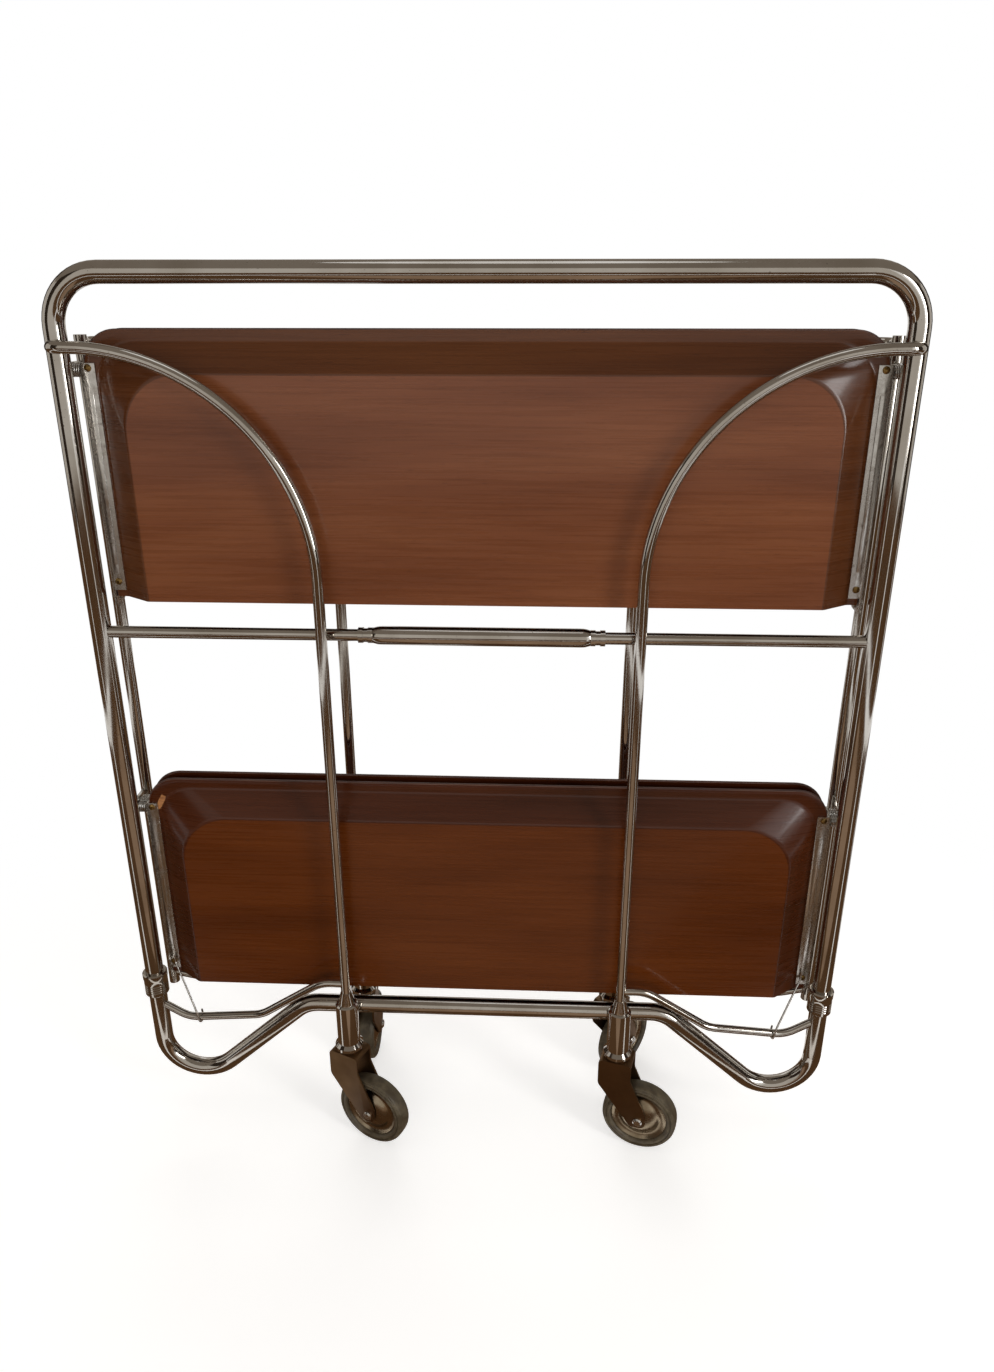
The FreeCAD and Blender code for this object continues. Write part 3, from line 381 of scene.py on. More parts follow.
@dataclass(frozen=True)
class PlyEdge:
    """The stained cut edge of the moulded ply, where thin layers show as faint lines."""

    stain: Stops = ((0.4, "#38201a"), (0.65, "#57382a"))
    layers: Grain = Grain(1.2, 37.5, 2.0)

    def build(self) -> bpy.types.Material:
        """Makes the material.

        Returns:
            The new material.
        """
        finish = Material("stained_ply_edge")
        layers = self.layers.draw(finish, self.layers.width_mm)
        finish.feed(finish.shader, {"Base Color": finish.add("ValToRGB", {"Fac": layers}, stops=self.stain),
                                    "Roughness": 0.6})
        return finish.block


@dataclass(frozen=True)
class BareVeneer:
    """Raw pale wood where a splinter of veneer has broken away."""

    wood: Stops = ((0.35, "#7d4d28"), (0.6, "#a9713f"))
    fibre: Grain = Grain(1.0, 12.0, 3.0)
    fibre_depth_mm: float = 0.2

    def build(self) -> bpy.types.Material:
        """Makes the material.

        Returns:
            The new material.
        """
        finish = Material("bare_split_wood")
        fibre = self.fibre.draw(finish, self.fibre.width_mm)
        relief = finish.add("Bump", {"Height": fibre, "Distance": self.fibre_depth_mm * MM, "Strength": 0.5})
        finish.feed(finish.shader, {"Base Color": finish.add("ValToRGB", {"Fac": fibre}, stops=self.wood),
                                    "Normal": relief, "Roughness": 0.8})
        return finish.block


@dataclass(frozen=True)
class CastorRubber:
    """Moulded grey-brown rubber, dusty and scuffed, with no clear reflection."""

    rubber: Stops = ((0.42, "#453b2c"), (0.7, "#625742"))
    scuff_mm: float = 9.0
    grit_mm: float = 0.8
    grit_depth_mm: float = 0.04
    smooth: float = 0.36
    rough: float = 0.6

    def build(self) -> bpy.types.Material:
        """Makes the material.

        Returns:
            The new material.
        """
        finish = Material("moulded_rubber")
        scuff = finish.add("TexNoise", {"Vector": finish.place, "Scale": per_metre(self.scuff_mm),
                                        "Detail": 6.0, "Roughness": 0.65})
        rubber = finish.add("ValToRGB", {"Fac": scuff}, stops=self.rubber)
        gloss = finish.add("MapRange", {"Value": scuff, "From Min": 0.35, "From Max": 0.7,
                                        "To Min": self.smooth, "To Max": self.rough})
        grit = finish.add("TexNoise", {"Vector": finish.place, "Scale": per_metre(self.grit_mm),
                                       "Detail": 3.0})
        relief = finish.add("Bump", {"Height": grit, "Distance": self.grit_depth_mm * MM, "Strength": 0.15})
        finish.feed(finish.shader, {"Base Color": rubber, "Roughness": gloss, "Normal": relief})
        return finish.block


def shown_rays(shading: Shading) -> bpy.types.Node:
    """A factor of 1 for rays that show the background: straight, mirrored or through glass.

    Args:
        shading: the node tree to add to.

    Returns:
        The node that gives the factor.
    """
    path = shading.add("LightPath").outputs
    mirrored = shading.add("Math", {0: path["Is Camera Ray"], 1: path["Is Glossy Ray"]}, operation="MAXIMUM")
    return shading.add("Math", {0: mirrored, 1: path["Is Transmission Ray"]}, operation="MAXIMUM")


@dataclass(frozen=True)
class StudioPaper:
    """Matt pale paper under the trolley that holds its shadow and goes over into the white background."""

    paper: str = "#efedea"
    lift: float = 0.5
    # Distances in metres from the trolley's middle at which the paper starts and ends going white
    white_from: float = 0.3
    white_by: float = 0.95

    def build(self) -> bpy.types.Material:
        """Makes the material.

        Returns:
            The new material.
        """
        finish = Material("matt_pale_paper")
        shown = shown_rays(finish)
        lifted = finish.add("Math", {0: shown, 1: self.lift}, operation="MULTIPLY")
        finish.feed(finish.shader, {"Base Color": srgb(self.paper), "Roughness": 0.95,
                                    "Emission Color": srgb(WHITE), "Emission Strength": lifted})
        away = finish.add("VectorMath", {0: finish.place}, operation="LENGTH").outputs["Value"]
        far = finish.add("MapRange", {"Value": away, "From Min": self.white_from, "From Max": self.white_by},
                         interpolation_type="SMOOTHSTEP")
        share = finish.add("Math", {0: shown, 1: far}, operation="MULTIPLY")
        white = finish.add("Emission", {"Color": srgb(WHITE), "Strength": 1.0})
        blend = finish.add("MixShader", {0: share, 1: finish.shader, 2: white})
        finish.feed(finish.output, {"Surface": blend})
        return finish.block


@dataclass(frozen=True)
class StudioCard:
    """Card that lies, stands or hangs round the trolley and glows with its own shade, seen only as bands in
    polished surfaces: a painted reflection of a room.
    """

    name: str
    shade: str

    def build(self) -> bpy.types.Material:
        """Makes the material.

        Returns:
            The new material.
        """
        finish = Material(self.name)
        # Black base and its shade as glow: the card is a painted reflection, not a surface lit by the lamps
        finish.feed(finish.shader, {"Base Color": srgb(BLACK), "Roughness": 1.0, "Specular IOR Level": 0.0,
                                    "Emission Color": srgb(self.shade), "Emission Strength": 1.0})
        return finish.block


# Mesh helpers

def new_piece(name: str, mesh: bmesh.types.BMesh, materials: list[bpy.types.Material],
              sharp_angle: float = 35.0) -> bpy.types.Object:
    """Turns a bmesh into a smooth-shaded object.

    Args:
        name: the piece's name.
        mesh: its faces; freed here.
        materials: its material slots in order.
        sharp_angle: degrees above which an edge stays sharp.

    Returns:
        The new object, linked to the scene.
    """
    bmesh.ops.recalc_face_normals(mesh, faces=mesh.faces)
    data = bpy.data.meshes.new(name)
    mesh.to_mesh(data)
    mesh.free()
    for material in materials:
        data.materials.append(material)
    data.shade_smooth()
    data.set_sharp_from_angle(angle=math.radians(sharp_angle))
    piece = bpy.data.objects.new(name, data)
    bpy.context.scene.collection.objects.link(piece)
    return piece


def turned_mesh(profile: Profile, centre: Vector, axis: Vector, steps: int) -> bmesh.types.BMesh:
    """A closed ring turned about an axle from a closed outline.

    Args:
        profile: (radius, place along the axle) in millimetres, in order round the outline.
        centre: a point on the axle, in metres.
        axis: the axle's direction.
        steps: faces round the axle.

    Returns:
        The new mesh.
    """
    mesh = bmesh.new()
    turn = axis.to_track_quat("Z", "Y").to_matrix()
    rings = []
    for step in range(steps):
        angle = math.tau * step / steps
        spoke = turn @ Vector((math.cos(angle), math.sin(angle), 0.0))
        points = [centre + (spoke * radius + axis * along) * MM for radius, along in profile]
        rings.append([mesh.verts.new(point) for point in points])
    for step, ring in enumerate(rings):
        following = rings[(step + 1) % steps]
        for index in range(len(profile)):
            after = (index + 1) % len(profile)
            mesh.faces.new((ring[index], ring[after], following[after], following[index]))
    return mesh


def joint_line(name: str) -> tuple[Vector, Vector]:
    """A point on a joint's axis and the axis' direction, at rest."""
    joint = next(joint for joint in frame["joints"] if joint["name"] == name)
    return Vector(joint["pos_m"]), Vector(joint["axis"]).normalized()


# Sub-assemblies

@dataclass
class TrayBoard:
    """One moulded half tray: flat rim, sloping wall on three sides and flat panel, open at the hinge edge."""

    tier: Tier
    end: End
    laminate: bpy.types.Material
    shaded_rim_wall: bpy.types.Material
    ply: bpy.types.Material
    thickness: float = BOARD_THICKNESS
    rim_width: float = 10.0 * MM
    wall_run: float = 24.0 * MM
    bend_radius: float = 5.0 * MM
    rim_corner: float = 30.0 * MM
    panel_corner: float = 48.0 * MM
    edge_round: float = 0.9 * MM
    bend_steps: int = 8
    corner_steps: int = 20
    # Places of the rim and wall veneer, a darker copy that is painted shade, and of the cut edge in the board's
    # list of finishes
    shaded_rim_wall_index: int = 1
    ply_index: int = 2

    @property
    def node(self) -> str:
        """Name of the construction piece that this board stands for."""
        return f"{self.tier.value}_{self.end.value}_tray_board"

    def underside(self, depth: float) -> Profile:
        """The outer face from rim to panel.

        Args:
            depth: full depth of the tray.

        Returns:
            Pairs of inset from the rim and depth below the rim's upper face.
        """
        slope = math.atan2(depth - self.thickness, self.wall_run)
        reach = self.bend_radius * math.tan(slope / 2)
        foot = self.rim_width + self.wall_run + reach
        points = [(self.edge_round, self.thickness), (self.rim_width / 2, self.thickness)]
        bend = []
        for step in range(self.bend_steps + 1):
            angle = slope * step / self.bend_steps
            bend.append((self.bend_radius * math.sin(angle), self.bend_radius * (1 - math.cos(angle))))
        points += [(self.rim_width - reach + along, self.thickness + fall) for along, fall in bend]
        points += [(foot - along, depth - fall) for along, fall in reversed(bend)]
        return points

    def upper_face(self, underside: Profile) -> Profile:
        """The inner face, one board thickness from the outer one.

        Args:
            underside: the outer face's points.

        Returns:
            As many points, in the same order.
        """
        points = []
        for index, (inset, depth) in enumerate(underside):
            before = underside[max(index - 1, 0)]
            after = underside[min(index + 1, len(underside) - 1)]
            run = Vector((after[0] - before[0], after[1] - before[1])).normalized()
            if index in (0, len(underside) - 1):
                run = Vector((1.0, 0.0))
            points.append((inset + run.y * self.thickness, depth - run.x * self.thickness))
        return points

    def ring(self, mesh: bmesh.types.BMesh, inset: float, depth: float) -> list[bmesh.types.BMVert]:
        """One line of points round three sides, from the left foot over the top to the right foot.

        Args:
            mesh: the mesh to add to.
            inset: distance in from the rim.
            depth: depth below the rim's upper face.

        Returns:
            The new vertices in order.
        """
        low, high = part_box(self.node)
        half = (high[0] - low[0]) / 2 - inset
        top = high[2] - inset
        foot = low[2]
        rim_y = high[1] if self.end is End.FRONT else low[1]
        y = rim_y + self.end.sign * depth
        share = min(inset / (self.rim_width + self.wall_run), 1.0)
        radius = self.rim_corner + (self.panel_corner - self.rim_corner) * share
        places = [(-half, foot)]
        for step in range(self.corner_steps + 1):
            angle = math.pi - math.pi / 2 * step / self.corner_steps
            places.append((radius - half + radius * math.cos(angle), top - radius + radius * math.sin(angle)))
        places += [(-x, z) for x, z in reversed(places)]
        return [mesh.verts.new((x, y, z)) for x, z in places]

    def build(self) -> bpy.types.Object:
        """Makes the board and sets it in the construction piece's place.

        Returns:
            The board.
        """
        low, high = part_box(self.node)
        mesh = bmesh.new()
        outer = self.underside(high[1] - low[1])
        inner = self.upper_face(outer)
        # The rim's rounded edge: its two bends at half their turn, and the flat between them
        corner = self.edge_round * (1 - math.sqrt(0.5))
        edge = [(corner, corner), (0.0, self.edge_round), (0.0, self.thickness - self.edge_round),
                (corner, self.thickness - corner)]
        outer_rings = [self.ring(mesh, *point) for point in outer]
        inner_rings = [self.ring(mesh, *point) for point in inner]
        edge_rings = [self.ring(mesh, *point) for point in edge]
        around = inner_rings[::-1] + edge_rings + outer_rings
        for first, second in zip(around, around[1:]):
            cut_edge = first in edge_rings or second in edge_rings
            for index in range(len(first) - 1):
                face = mesh.faces.new((first[index], first[index + 1], second[index + 1], second[index]))
                # Rim, wall and bends take the darker veneer as painted shade; only the flat panel keeps the main
                # veneer
                face.material_index = self.ply_index if cut_edge else self.shaded_rim_wall_index
        mesh.faces.new(outer_rings[-1])
        mesh.faces.new(inner_rings[-1])
        cut = []
        for foot in (0, -1):
            for corners in zip(outer_rings, outer_rings[1:], inner_rings[1:], inner_rings):
                cut.append(mesh.faces.new([ring[foot] for ring in corners]))
            lip = [ring[foot] for ring in [inner_rings[0]] + edge_rings + [outer_rings[0]]]
            cut.append(mesh.faces.new(lip))
        panel = (outer_rings[-1][0], outer_rings[-1][-1], inner_rings[-1][-1], inner_rings[-1][0])
        cut.append(mesh.faces.new(panel))
        for face in cut:
            face.material_index = self.ply_index
        piece = new_piece(f"{self.tier.value}_{self.end.value}_moulded_board", mesh,
                          [self.laminate, self.shaded_rim_wall, self.ply])
        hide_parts(self.node)
        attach(piece, f"{self.tier.value}_{self.end.value}_tray")
        return piece


@dataclass
class CastorWheel:
    """A castor's wheel: a grooved rubber tyre on a pressed disc with a domed middle."""

    end: End
    side: Side
    rubber: bpy.types.Material
    disc: bpy.types.Material
    steps: int = 72
    # Half outlines in millimetres from the axle and from the wheel's middle plane
    tyre_outline: Profile = field(default_factory=lambda: [
        (29.1, 6.0), (29.6, 7.2), (30.4, 8.2), (31.4, 8.75), (32.4, 8.95), (33.2, 8.8), (33.6, 7.8),
        (34.4, 7.8), (34.8, 8.8), (35.8, 8.75), (36.6, 8.3), (36.9, 7.5), (37.5, 7.4), (38.1, 7.1),
        (38.6, 6.0), (38.85, 4.4), (38.97, 2.6), (39.0, 0.9)])
    disc_outline: Profile = field(default_factory=lambda: [
        (3.1, 10.2), (6.0, 10.25), (9.5, 10.0), (13.0, 9.2), (16.4, 7.8), (19.0, 6.0), (20.4, 4.7),
        (21.6, 3.9), (23.2, 3.5), (25.0, 3.7), (26.6, 4.5), (27.8, 5.5), (28.6, 5.95), (29.0, 5.8)])

    def closed(self, outline: Profile) -> Profile:
        """Both halves of an outline, mirrored in the wheel's middle plane."""
        return outline + [(radius, -along) for radius, along in reversed(outline)]

    def build(self) -> list[bpy.types.Object]:
        """Makes tyre and disc round the wheel's own axle.

        Returns:
            The tyre and the disc.
        """
        tag = f"{self.end.value}_{self.side.value}"
        centre, axis = joint_line(f"{tag}_roll")
        tyre = new_piece(f"{tag}_grooved_tyre",
                         turned_mesh(self.closed(self.tyre_outline), centre, axis, self.steps), [self.rubber])
        disc = new_piece(f"{tag}_domed_disc",
                         turned_mesh(self.closed(self.disc_outline), centre, axis, self.steps), [self.disc])
        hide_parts(f"{tag}_wheel_tyre")
        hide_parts(f"{tag}_wheel_hub")
        for piece in (tyre, disc):
            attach(piece, f"{tag}_wheel")
        return [tyre, disc]


@dataclass
class SplitVeneer:
    """The splinter of bare wood at the lower front tray's left pivot."""

    wood: bpy.types.Material
    length: float = 17.0 * MM
    width: float = 6.0 * MM
    lean: float = 26.0
    proud: float = 0.25 * MM
    from_end: float = 9.0 * MM
    below_top: float = 34.0 * MM
    # Half widths along the splinter, as shares of its width
    width_shares: tuple[float, ...] = (0.16, 0.42, 0.5, 0.46, 0.38)

    def build(self) -> bpy.types.Object:
        """Makes the splinter just proud of the rim's underside.

        Returns:
            The splinter.
        """
        low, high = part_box("lower_front_tray_board")
        rim_face = high[1] - BOARD_THICKNESS
        foot = Vector((low[0] + self.from_end, rim_face, high[2] - self.below_top))
        lean = Matrix.Rotation(math.radians(self.lean), 3, "Y")
        mesh = bmesh.new()
        rows = []
        for index, share in enumerate(self.width_shares):
            along = self.length * index / (len(self.width_shares) - 1)
            rows.append([[mesh.verts.new(foot + lean @ Vector((side * share * self.width, -depth, along)))
                          for side in (-1, 1)] for depth in (0.0, self.proud)])
        for (back, front), (next_back, next_front) in zip(rows, rows[1:]):
            mesh.faces.new((front[0], front[1], next_front[1], next_front[0]))
            mesh.faces.new((back[1], back[0], next_back[0], next_back[1]))
            for side in (0, 1):
                mesh.faces.new((back[side], front[side], next_front[side], next_back[side]))
        for back, front in (rows[0], rows[-1]):
            mesh.faces.new((back[0], back[1], front[1], front[0]))
        piece = new_piece("lower_front_split_veneer", mesh, [self.wood])
        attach(piece, "lower_front_tray")
        return piece


@dataclass
class TurnedFitting:
    """A sleeve turned from tube, in one or more copies along parallel axes."""

    node: str
    name: str
    body: str
    slot: str
    finish: bpy.types.Material
    # Closed outline as (radius, place along the axis) in millimetres
    outline: Profile
    axis: Vector
    centres: list[Vector]
    steps: int = 64

    def build(self) -> bpy.types.Object:
        """Turns every copy and sets it in the construction piece's place.

        Returns:
            One piece with all the copies.
        """
        mesh = bmesh.new()
        for centre in self.centres:
            copy = turned_mesh(self.outline, centre, self.axis, self.steps)
            data = bpy.data.meshes.new(self.name)
            copy.to_mesh(data)
            copy.free()
            mesh.from_mesh(data)
            bpy.data.meshes.remove(data)
        piece = new_piece(self.name, mesh, [self.finish])
        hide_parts(self.node)
        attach(piece, self.body)
        return piece


@dataclass
class LoopCollars:
    """The smooth sleeves low on the side tubes: a rounded lip on top and fine turned lines below it."""

    finish: bpy.types.Material
    # Radii, lengths and depths in millimetres
    bore: float = 9.05
    body: float = 12.0
    lip: float = 12.5
    line_depth: float = 0.35
    line_width: float = 0.9
    line_spacing: float = 2.6
    first_line: float = 5.0
    lines: int = 4
    lip_start: float = 19.0
    edge: float = 1.2

    def outline(self, length: float) -> Profile:
        """One collar's closed outline.

        Args:
            length: the collar's length in millimetres.

        Returns:
            Points from the foot of the bore outward, up and back.
        """
        points = [(self.bore, 0.0), (self.body - self.edge, 0.0), (self.body, self.edge)]
        for line in range(self.lines):
            start = self.first_line + line * self.line_spacing
            end = start + self.line_width
            points += [(self.body, start), (self.body - self.line_depth, (start + end) / 2), (self.body, end)]
        points += [(self.body, self.lip_start), (self.lip, self.lip_start + self.edge),
                   (self.lip, length - self.edge), (self.lip - self.edge, length), (self.bore, length)]
        return points

    def build(self) -> bpy.types.Object:
        """Makes both collars as one piece.

        Returns:
            The piece.
        """
        low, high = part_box("loop_collars")
        reach = self.lip * MM
        middle_y = (low[1] + high[1]) / 2
        centres = [Vector((x, middle_y, low[2])) for x in (low[0] + reach, high[0] - reach)]
        return TurnedFitting("loop_collars", "turned_loop_collars", "front_frame", "chrome_tube", self.finish,
                             self.outline((high[2] - low[2]) / MM), Vector((0.0, 0.0, 1.0)), centres).build()


@dataclass
class CarryGrip:
    """The grip on the carry bar: a straight sleeve whose ends are rolled down to the ferrules."""

    finish: bpy.types.Material
    # Radius of the bore, and roll-down at each end as (depth below the sleeve, place from the end),
    # in millimetres
    bore: float = 5.55
    shoulder: tuple[tuple[float, float], ...] = ((1.6, 0.0), (1.2, 1.0), (0.8, 2.4), (0.35, 4.2), (0.08, 6.4),
                                                 (0.0, 9.0))

    def build(self) -> bpy.types.Object:
        """Makes the sleeve in the construction piece's place.

        Returns:
            The sleeve.
        """
        low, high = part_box("grip_sleeve")
        length = (high[0] - low[0]) / MM
        radius = (high[2] - low[2]) / 2 / MM
        near = [(radius - drop, place) for drop, place in self.shoulder]
        far = [(reach, length - place) for reach, place in reversed(near)]
        outline = [(self.bore, 0.0)] + near + far + [(self.bore, length)]
        start = Vector((low[0], (low[1] + high[1]) / 2, (low[2] + high[2]) / 2))
        return TurnedFitting("grip_sleeve", "rolled_grip_sleeve", "front_frame", "chrome_tube", self.finish,
                             outline, Vector((1.0, 0.0, 0.0)), [start]).build()


@dataclass
class PressedFitting:
    """A pressed steel fitting: the construction piece's own shape with its long sharp edges rounded."""

    node: str
    body: str
    slot: str
    finish: bpy.types.Material
    edge_round: float = 0.5 * MM
    edge_steps: int = 2
    edge_profile: float = 0.5
    sharp_angle: float = 40.0
    shortest_edge: float = 2.5 * MM
    # Points nearer than this become one, and slivers thinner than this are taken out
    weld: float = 0.01 * MM
    flat_angle: float = 0.5

    def build(self) -> bpy.types.Object:
        """Makes the rounded copy and sets it in the construction piece's place.

        Returns:
            The rounded copy.
        """
        mesh = bmesh.new()
        mesh.from_mesh(frame["nodes"][self.node].data)
        bmesh.ops.remove_doubles(mesh, verts=mesh.verts, dist=self.weld)
        bmesh.ops.dissolve_limit(mesh, angle_limit=math.radians(self.flat_angle), verts=mesh.verts,
                                 edges=mesh.edges)
        sharp = [edge for edge in mesh.edges
                 if len(edge.link_faces) == 2 and edge.calc_length() > self.shortest_edge
                 and edge.calc_face_angle() > math.radians(self.sharp_angle)]
        bmesh.ops.bevel(mesh, geom=sharp, offset=self.edge_round, offset_type="OFFSET", affect="EDGES",
                        segments=self.edge_steps, profile=self.edge_profile, clamp_overlap=True)
        bmesh.ops.remove_doubles(mesh, verts=mesh.verts, dist=self.weld)
        bmesh.ops.dissolve_degenerate(mesh, dist=self.weld, edges=mesh.edges)
        piece = new_piece(f"{self.node}_pressed", mesh, [self.finish])
        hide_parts(self.node)
        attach(piece, self.body)
        return piece


@dataclass
class Hardware:
    """The construction pieces: each takes its finish, and the pressed ones rounded edges as well."""

    finishes: dict[str, bpy.types.Material]
    fork_finish: bpy.types.Material
    pressed_endings: tuple[str, ...] = ("_fork", "_bracket")

    def dress(self) -> None:
        """Gives each piece the finish of its material slot and makes the pressed pieces."""
        slots = {entry["node"]: entry["material_slot"] for entry in frame["record"]["subparts"]}
        for body, nodes in frame["record"]["behaviour"]["bodies"].items():
            for node in nodes:
                slot = slots[node]
                finish = self.fork_finish if node.endswith("_fork") else self.finishes[slot]
                piece = frame["nodes"][node]
                piece.data.materials.clear()
                piece.data.materials.append(finish)
                if node.endswith(self.pressed_endings):
                    log.info("made %s", PressedFitting(node, body, slot, finish).build().name)


@dataclass(frozen=True)
class Lamp:
    """A soft rectangular lamp."""

    # Place and size are in metres, power in watts
    name: str
    place: Place
    size: Range
    power: float
    # Whether polished surfaces show the lamp itself
    mirrored: bool = False

    def hang(self, aim: Vector) -> None:
        """Hangs the lamp and points it.

        Args:
            aim: what it points at.
        """
        data = bpy.data.lights.new(self.name, "AREA")
        data.shape = "RECTANGLE"
        data.size, data.size_y = self.size
        data.energy = self.power
        lamp = bpy.data.objects.new(self.name, data)
        lamp.location = self.place
        lamp.visible_glossy = self.mirrored
        lamp.rotation_euler = (aim - Vector(self.place)).to_track_quat("-Z", "Y").to_euler()
        bpy.context.scene.collection.objects.link(lamp)


@dataclass
class Studio:
    """Pale floor, soft lamps, cards for the chrome and the camera."""

    floor_half: float = 9.0
    world_colour: str = "#f2efeb"
    level_strength: float = 0.6
    overhead_strength: float = 0.2
    lamps: tuple[Lamp, ...] = (
        Lamp("front_lamp", (-0.3, -3.0, 0.9), (2.4, 1.4), 30.0),
        Lamp("window_lamp", (1.85, -1.55, 1.15), (0.5, 1.5), 20.0, mirrored=True),
        Lamp("back_lamp", (-0.6, 2.6, 1.4), (2.4, 1.4), 24.0),
        Lamp("top_lamp", (0.0, 0.2, 2.7), (2.0, 1.4), 9.0))
    lit_place: Place = (0.0, 0.0, 0.45)
    # Sectors of the cards round the trolley, in degrees from the front towards the right
    near_sectors: Sectors = ((-150.0, -66.0), (-60.0, 58.0), (63.0, 104.0), (109.0, 196.0))
    far_sectors: Sectors = ((-150.0, -60.0), (-54.0, 28.0), (35.0, 102.0), (109.0, 196.0))
    wall_sectors: Sectors = ((-158.0, -74.0), (-60.0, 30.0), (44.0, 108.0), (120.0, 190.0))
    dark_sectors: Sectors = ((-142.0, -112.0), (-72.0, -40.0), (52.0, 82.0), (112.0, 146.0))
    overhead_sectors: Sectors = ((0.0, 180.0), (180.0, 360.0))
    pale_sectors: Sectors = ((-28.0, 32.0),)
    # Inner and outer radius of the level cards; an inner radius of zero makes full sectors
    near_ring: Range = (0.0, 1.38)
    pale_ring: Range = (0.22, 1.05)
    far_ring: Range = (1.55, 4.0)
    overhead_ring: Range = (0.55, 4.2)
    floor_rise: float = 3.0 * MM
    pale_rise: float = 5.0 * MM
    wall_reach: float = 4.0
    dark_reach: float = 3.6
    wall_height: float = 2.9
    card_steps: int = 12
    # The camera, fitted to the photograph: place in metres, turns in degrees, focal length in the
    # photograph's pixels and height of the sensor in millimetres
    camera_place: Place = (0.0506, -0.8818, 0.8484)
    pitch: float = 21.81
    yaw: float = -2.489
    roll: float = -0.022
    focal_pixels: float = 992.8
    sensor: float = 36.0

    def flat(self, name: str, outline: Profile, height: float,
             material: bpy.types.Material) -> bpy.types.Object:
        """Lays one flat sheet of the set.

        Args:
            name: the sheet's name.
            outline: its corners in plan, in metres.
            height: its height above the ground.
            material: its finish.

        Returns:
            The new sheet.
        """
        mesh = bmesh.new()
        mesh.faces.new([mesh.verts.new((x, y, height)) for x, y in outline])
        sheet = new_piece(name, mesh, [material])
        return sheet

    def floor(self) -> None:
        """Lays the pale floor."""
        half = self.floor_half
        corners = [(-half, -half), (half, -half), (half, half), (-half, half)]
        self.flat("pale_floor", corners, 0.0, StudioPaper().build())

    def only_mirrored(self, card: bpy.types.Object) -> None:
        """Leaves a card to show in polished surfaces alone.

        Args:
            card: the card.
        """
        card.visible_camera = False
        card.visible_diffuse = False
        card.visible_transmission = False
        card.visible_shadow = False
        card.visible_volume_scatter = False

    def sector(self, ends: Range, reach: float) -> Profile:
        """Points along an arc in plan.

        Args:
            ends: its first and last angle in degrees from the front towards the right.
            reach: its radius.

        Returns:
            The points in order.
        """
        start, end = ends
        shares = [step / self.card_steps for step in range(self.card_steps + 1)]
        angles = [math.radians(start + (end - start) * share) for share in shares]
        return [(reach * math.sin(angle), -reach * math.cos(angle)) for angle in angles]

    def wall_cards(self, name: str, sectors: Sectors, reach: float, material: bpy.types.Material) -> None:
        """Stands the upright cards of one ring.

        Args:
            name: the cards' name, to which their number is added.
            sectors: each card's first and last angle.
            reach: their distance from the middle.
            material: their finish.
        """
        for number, ends in enumerate(sectors, 1):
            line = self.sector(ends, reach)
            mesh = bmesh.new()
            feet = [mesh.verts.new((x, y, 0.0)) for x, y in line]
            heads = [mesh.verts.new((x, y, self.wall_height)) for x, y in line]
            for index in range(len(line) - 1):
                mesh.faces.new((feet[index], feet[index + 1], heads[index + 1], heads[index]))
            card = new_piece(f"{name}_{number}", mesh, [material])
            self.only_mirrored(card)

    def level_cards(self, name: str, sectors: Sectors, ring: Range, height: float,
                    material: bpy.types.Material) -> None:
        """Lays or hangs the level cards of one ring.

        Args:
            name: the cards' name, to which their number is added.
            sectors: each card's first and last angle.
            ring: their inner and outer radius.
            height: their height above the ground.
            material: their finish.
        """
        near, far = ring
        for number, ends in enumerate(sectors, 1):
            inner = self.sector(ends, near)[::-1] if near else [(0.0, 0.0)]
            outline = self.sector(ends, far) + inner
            self.only_mirrored(self.flat(f"{name}_{number}", outline, height, material))

    def cards(self) -> None:
        """Sets the glowing cards that show in the chrome as painted reflections: brown ones low down, pale and
        dark ones round it.
        """
        brown = StudioCard("brown_card", "#5c432d").build()
        pale = StudioCard("pale_brown_card", "#987f69").build()
        grey = StudioCard("grey_card", "#c8c3bc").build()
        dark = StudioCard("dark_card", "#332a22").build()
        shaded = StudioCard("shaded_card", "#857c72").build()
        self.level_cards("near_brown_card", self.near_sectors, self.near_ring, self.floor_rise, brown)
        self.level_cards("far_brown_card", self.far_sectors, self.far_ring, self.floor_rise, brown)
        self.level_cards("pale_brown_card", self.pale_sectors, self.pale_ring, self.pale_rise, pale)
        self.level_cards("overhead_card", self.overhead_sectors, self.overhead_ring, self.wall_height, shaded)
        self.wall_cards("grey_card", self.wall_sectors, self.wall_reach, grey)
        self.wall_cards("dark_card", self.dark_sectors, self.dark_reach, dark)

    def light(self) -> None:
        """Sets the sky, white where it shows, and the lamps."""
        world = bpy.data.worlds.new("pale_room")
        world.use_nodes = True
        room = Shading(world.node_tree)
        upward = room.add("SeparateXYZ", {0: room.add("TexCoord").outputs["Generated"]}).outputs["Z"]
        strength = room.add("MapRange", {"Value": upward, "To Min": self.level_strength,
                                         "To Max": self.overhead_strength})
        sky = room.add("Background", {"Color": srgb(self.world_colour), "Strength": strength})
        white = room.add("Background", {"Color": srgb(WHITE), "Strength": 1.0})
        seen = room.add("MixShader", {0: shown_rays(room), 1: sky, 2: white})
        room.add("OutputWorld", {"Surface": seen})
        bpy.context.scene.world = world
        for lamp in self.lamps:
            lamp.hang(Vector(self.lit_place))

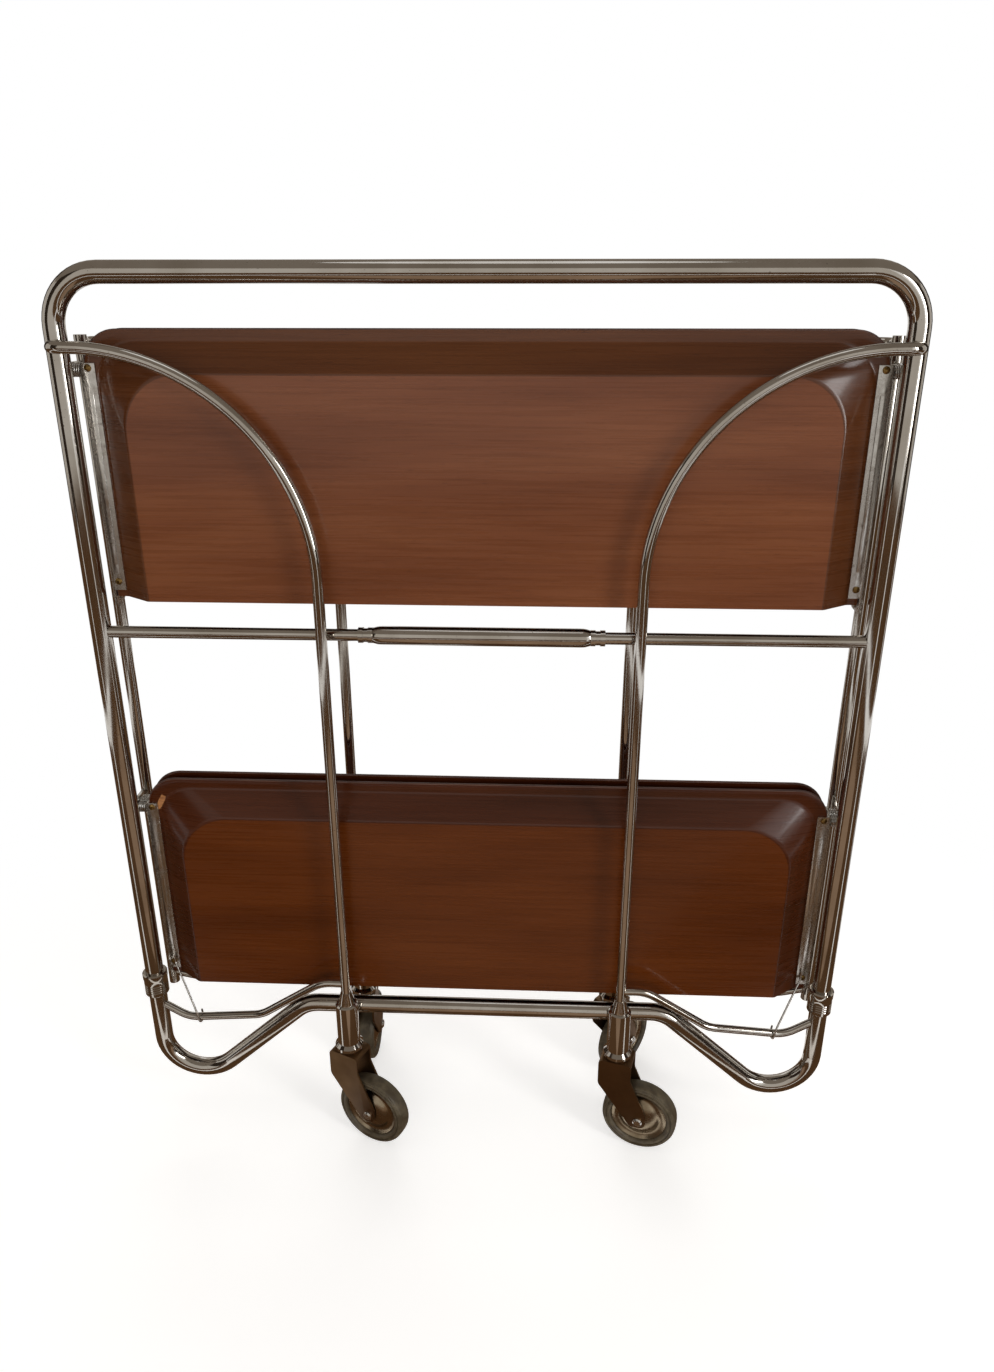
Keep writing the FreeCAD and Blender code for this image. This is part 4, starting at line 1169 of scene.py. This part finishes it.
    def camera(self) -> None:
        """Stands the camera where the photograph was taken from."""
        pitch, yaw, roll = (math.radians(angle) for angle in (self.pitch, self.yaw, self.roll))
        ahead = Vector((math.sin(yaw) * math.cos(pitch), math.cos(yaw) * math.cos(pitch), -math.sin(pitch)))
        level = Vector((math.cos(yaw), -math.sin(yaw), 0.0))
        upward = level.cross(ahead)
        right = level * math.cos(roll) + upward * math.sin(roll)
        upright = upward * math.cos(roll) - level * math.sin(roll)
        data = bpy.data.cameras.new("photo_camera")
        data.sensor_fit = "VERTICAL"
        data.sensor_height = self.sensor
        data.lens = self.sensor * self.focal_pixels / IMAGE_HEIGHT
        camera = bpy.data.objects.new("photo_camera", data)
        turn = Matrix((right, upright, -ahead)).transposed().to_4x4()
        camera.matrix_world = Matrix.Translation(self.camera_place) @ turn
        bpy.context.scene.collection.objects.link(camera)
        bpy.context.scene.camera = camera

    def build(self) -> None:
        """Sets up floor, cards, light, camera and plain colour handling."""
        self.floor()
        self.cards()
        self.light()
        self.camera()
        bpy.context.scene.view_settings.view_transform = "Standard"


def main() -> None:
    """Dresses the trolley piece by piece."""
    logging.basicConfig(level=logging.INFO)
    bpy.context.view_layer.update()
    # The rim and wall veneers are darker copies of the panel veneers: painted shade on the upward-facing wall
    shaded_rim_wall = {
        Tier.UPPER: WalnutLaminate("rim_wall_walnut_veneer_painted_shade", "#583014", "#502a11", "#47240e").build(),
        Tier.LOWER: WalnutLaminate("lower_rim_wall_walnut_veneer_painted_shade", "#481f07", "#401a05", "#361503").build(),
    }
    # The lower tier's veneers, here and above, are darker copies of the upper ones: painted shade on the lower
    # tray
    laminates = {
        Tier.UPPER: WalnutLaminate("satin_walnut_veneer", "#764426", "#6c3b1f", "#603218").build(),
        Tier.LOWER: WalnutLaminate("lower_walnut_veneer_painted_shade", "#5e2c08", "#542504", "#471d02").build(),
    }
    ply = PlyEdge().build()
    rubber = CastorRubber().build()
    chrome = ChromedTube().build()
    disc = LACQUERED_DISC.build()
    finishes = {
        "chrome_tube": chrome,
        "zinc_steel": ZincPlate().build(),
        "brass_screw": TARNISHED_BRASS.build(),
        "wood_laminate": laminates[Tier.UPPER],
        "castor_rubber": rubber,
        "wheel_disc": disc,
    }
    Hardware(finishes, BRONZED_FORK.build()).dress()
    pieces = [LoopCollars(chrome).build(), CarryGrip(chrome).build()]
    for tier in Tier:
        for end in End:
            pieces.append(TrayBoard(tier, end, laminates[tier], shaded_rim_wall[tier], ply).build())
    for end in End:
        for side in Side:
            pieces += CastorWheel(end, side, rubber, disc).build()
    pieces.append(SplitVeneer(BareVeneer().build()).build())
    for piece in pieces:
        log.info("made %s", piece.name)
    Studio().build()


if __name__ == "__main__":
    main()
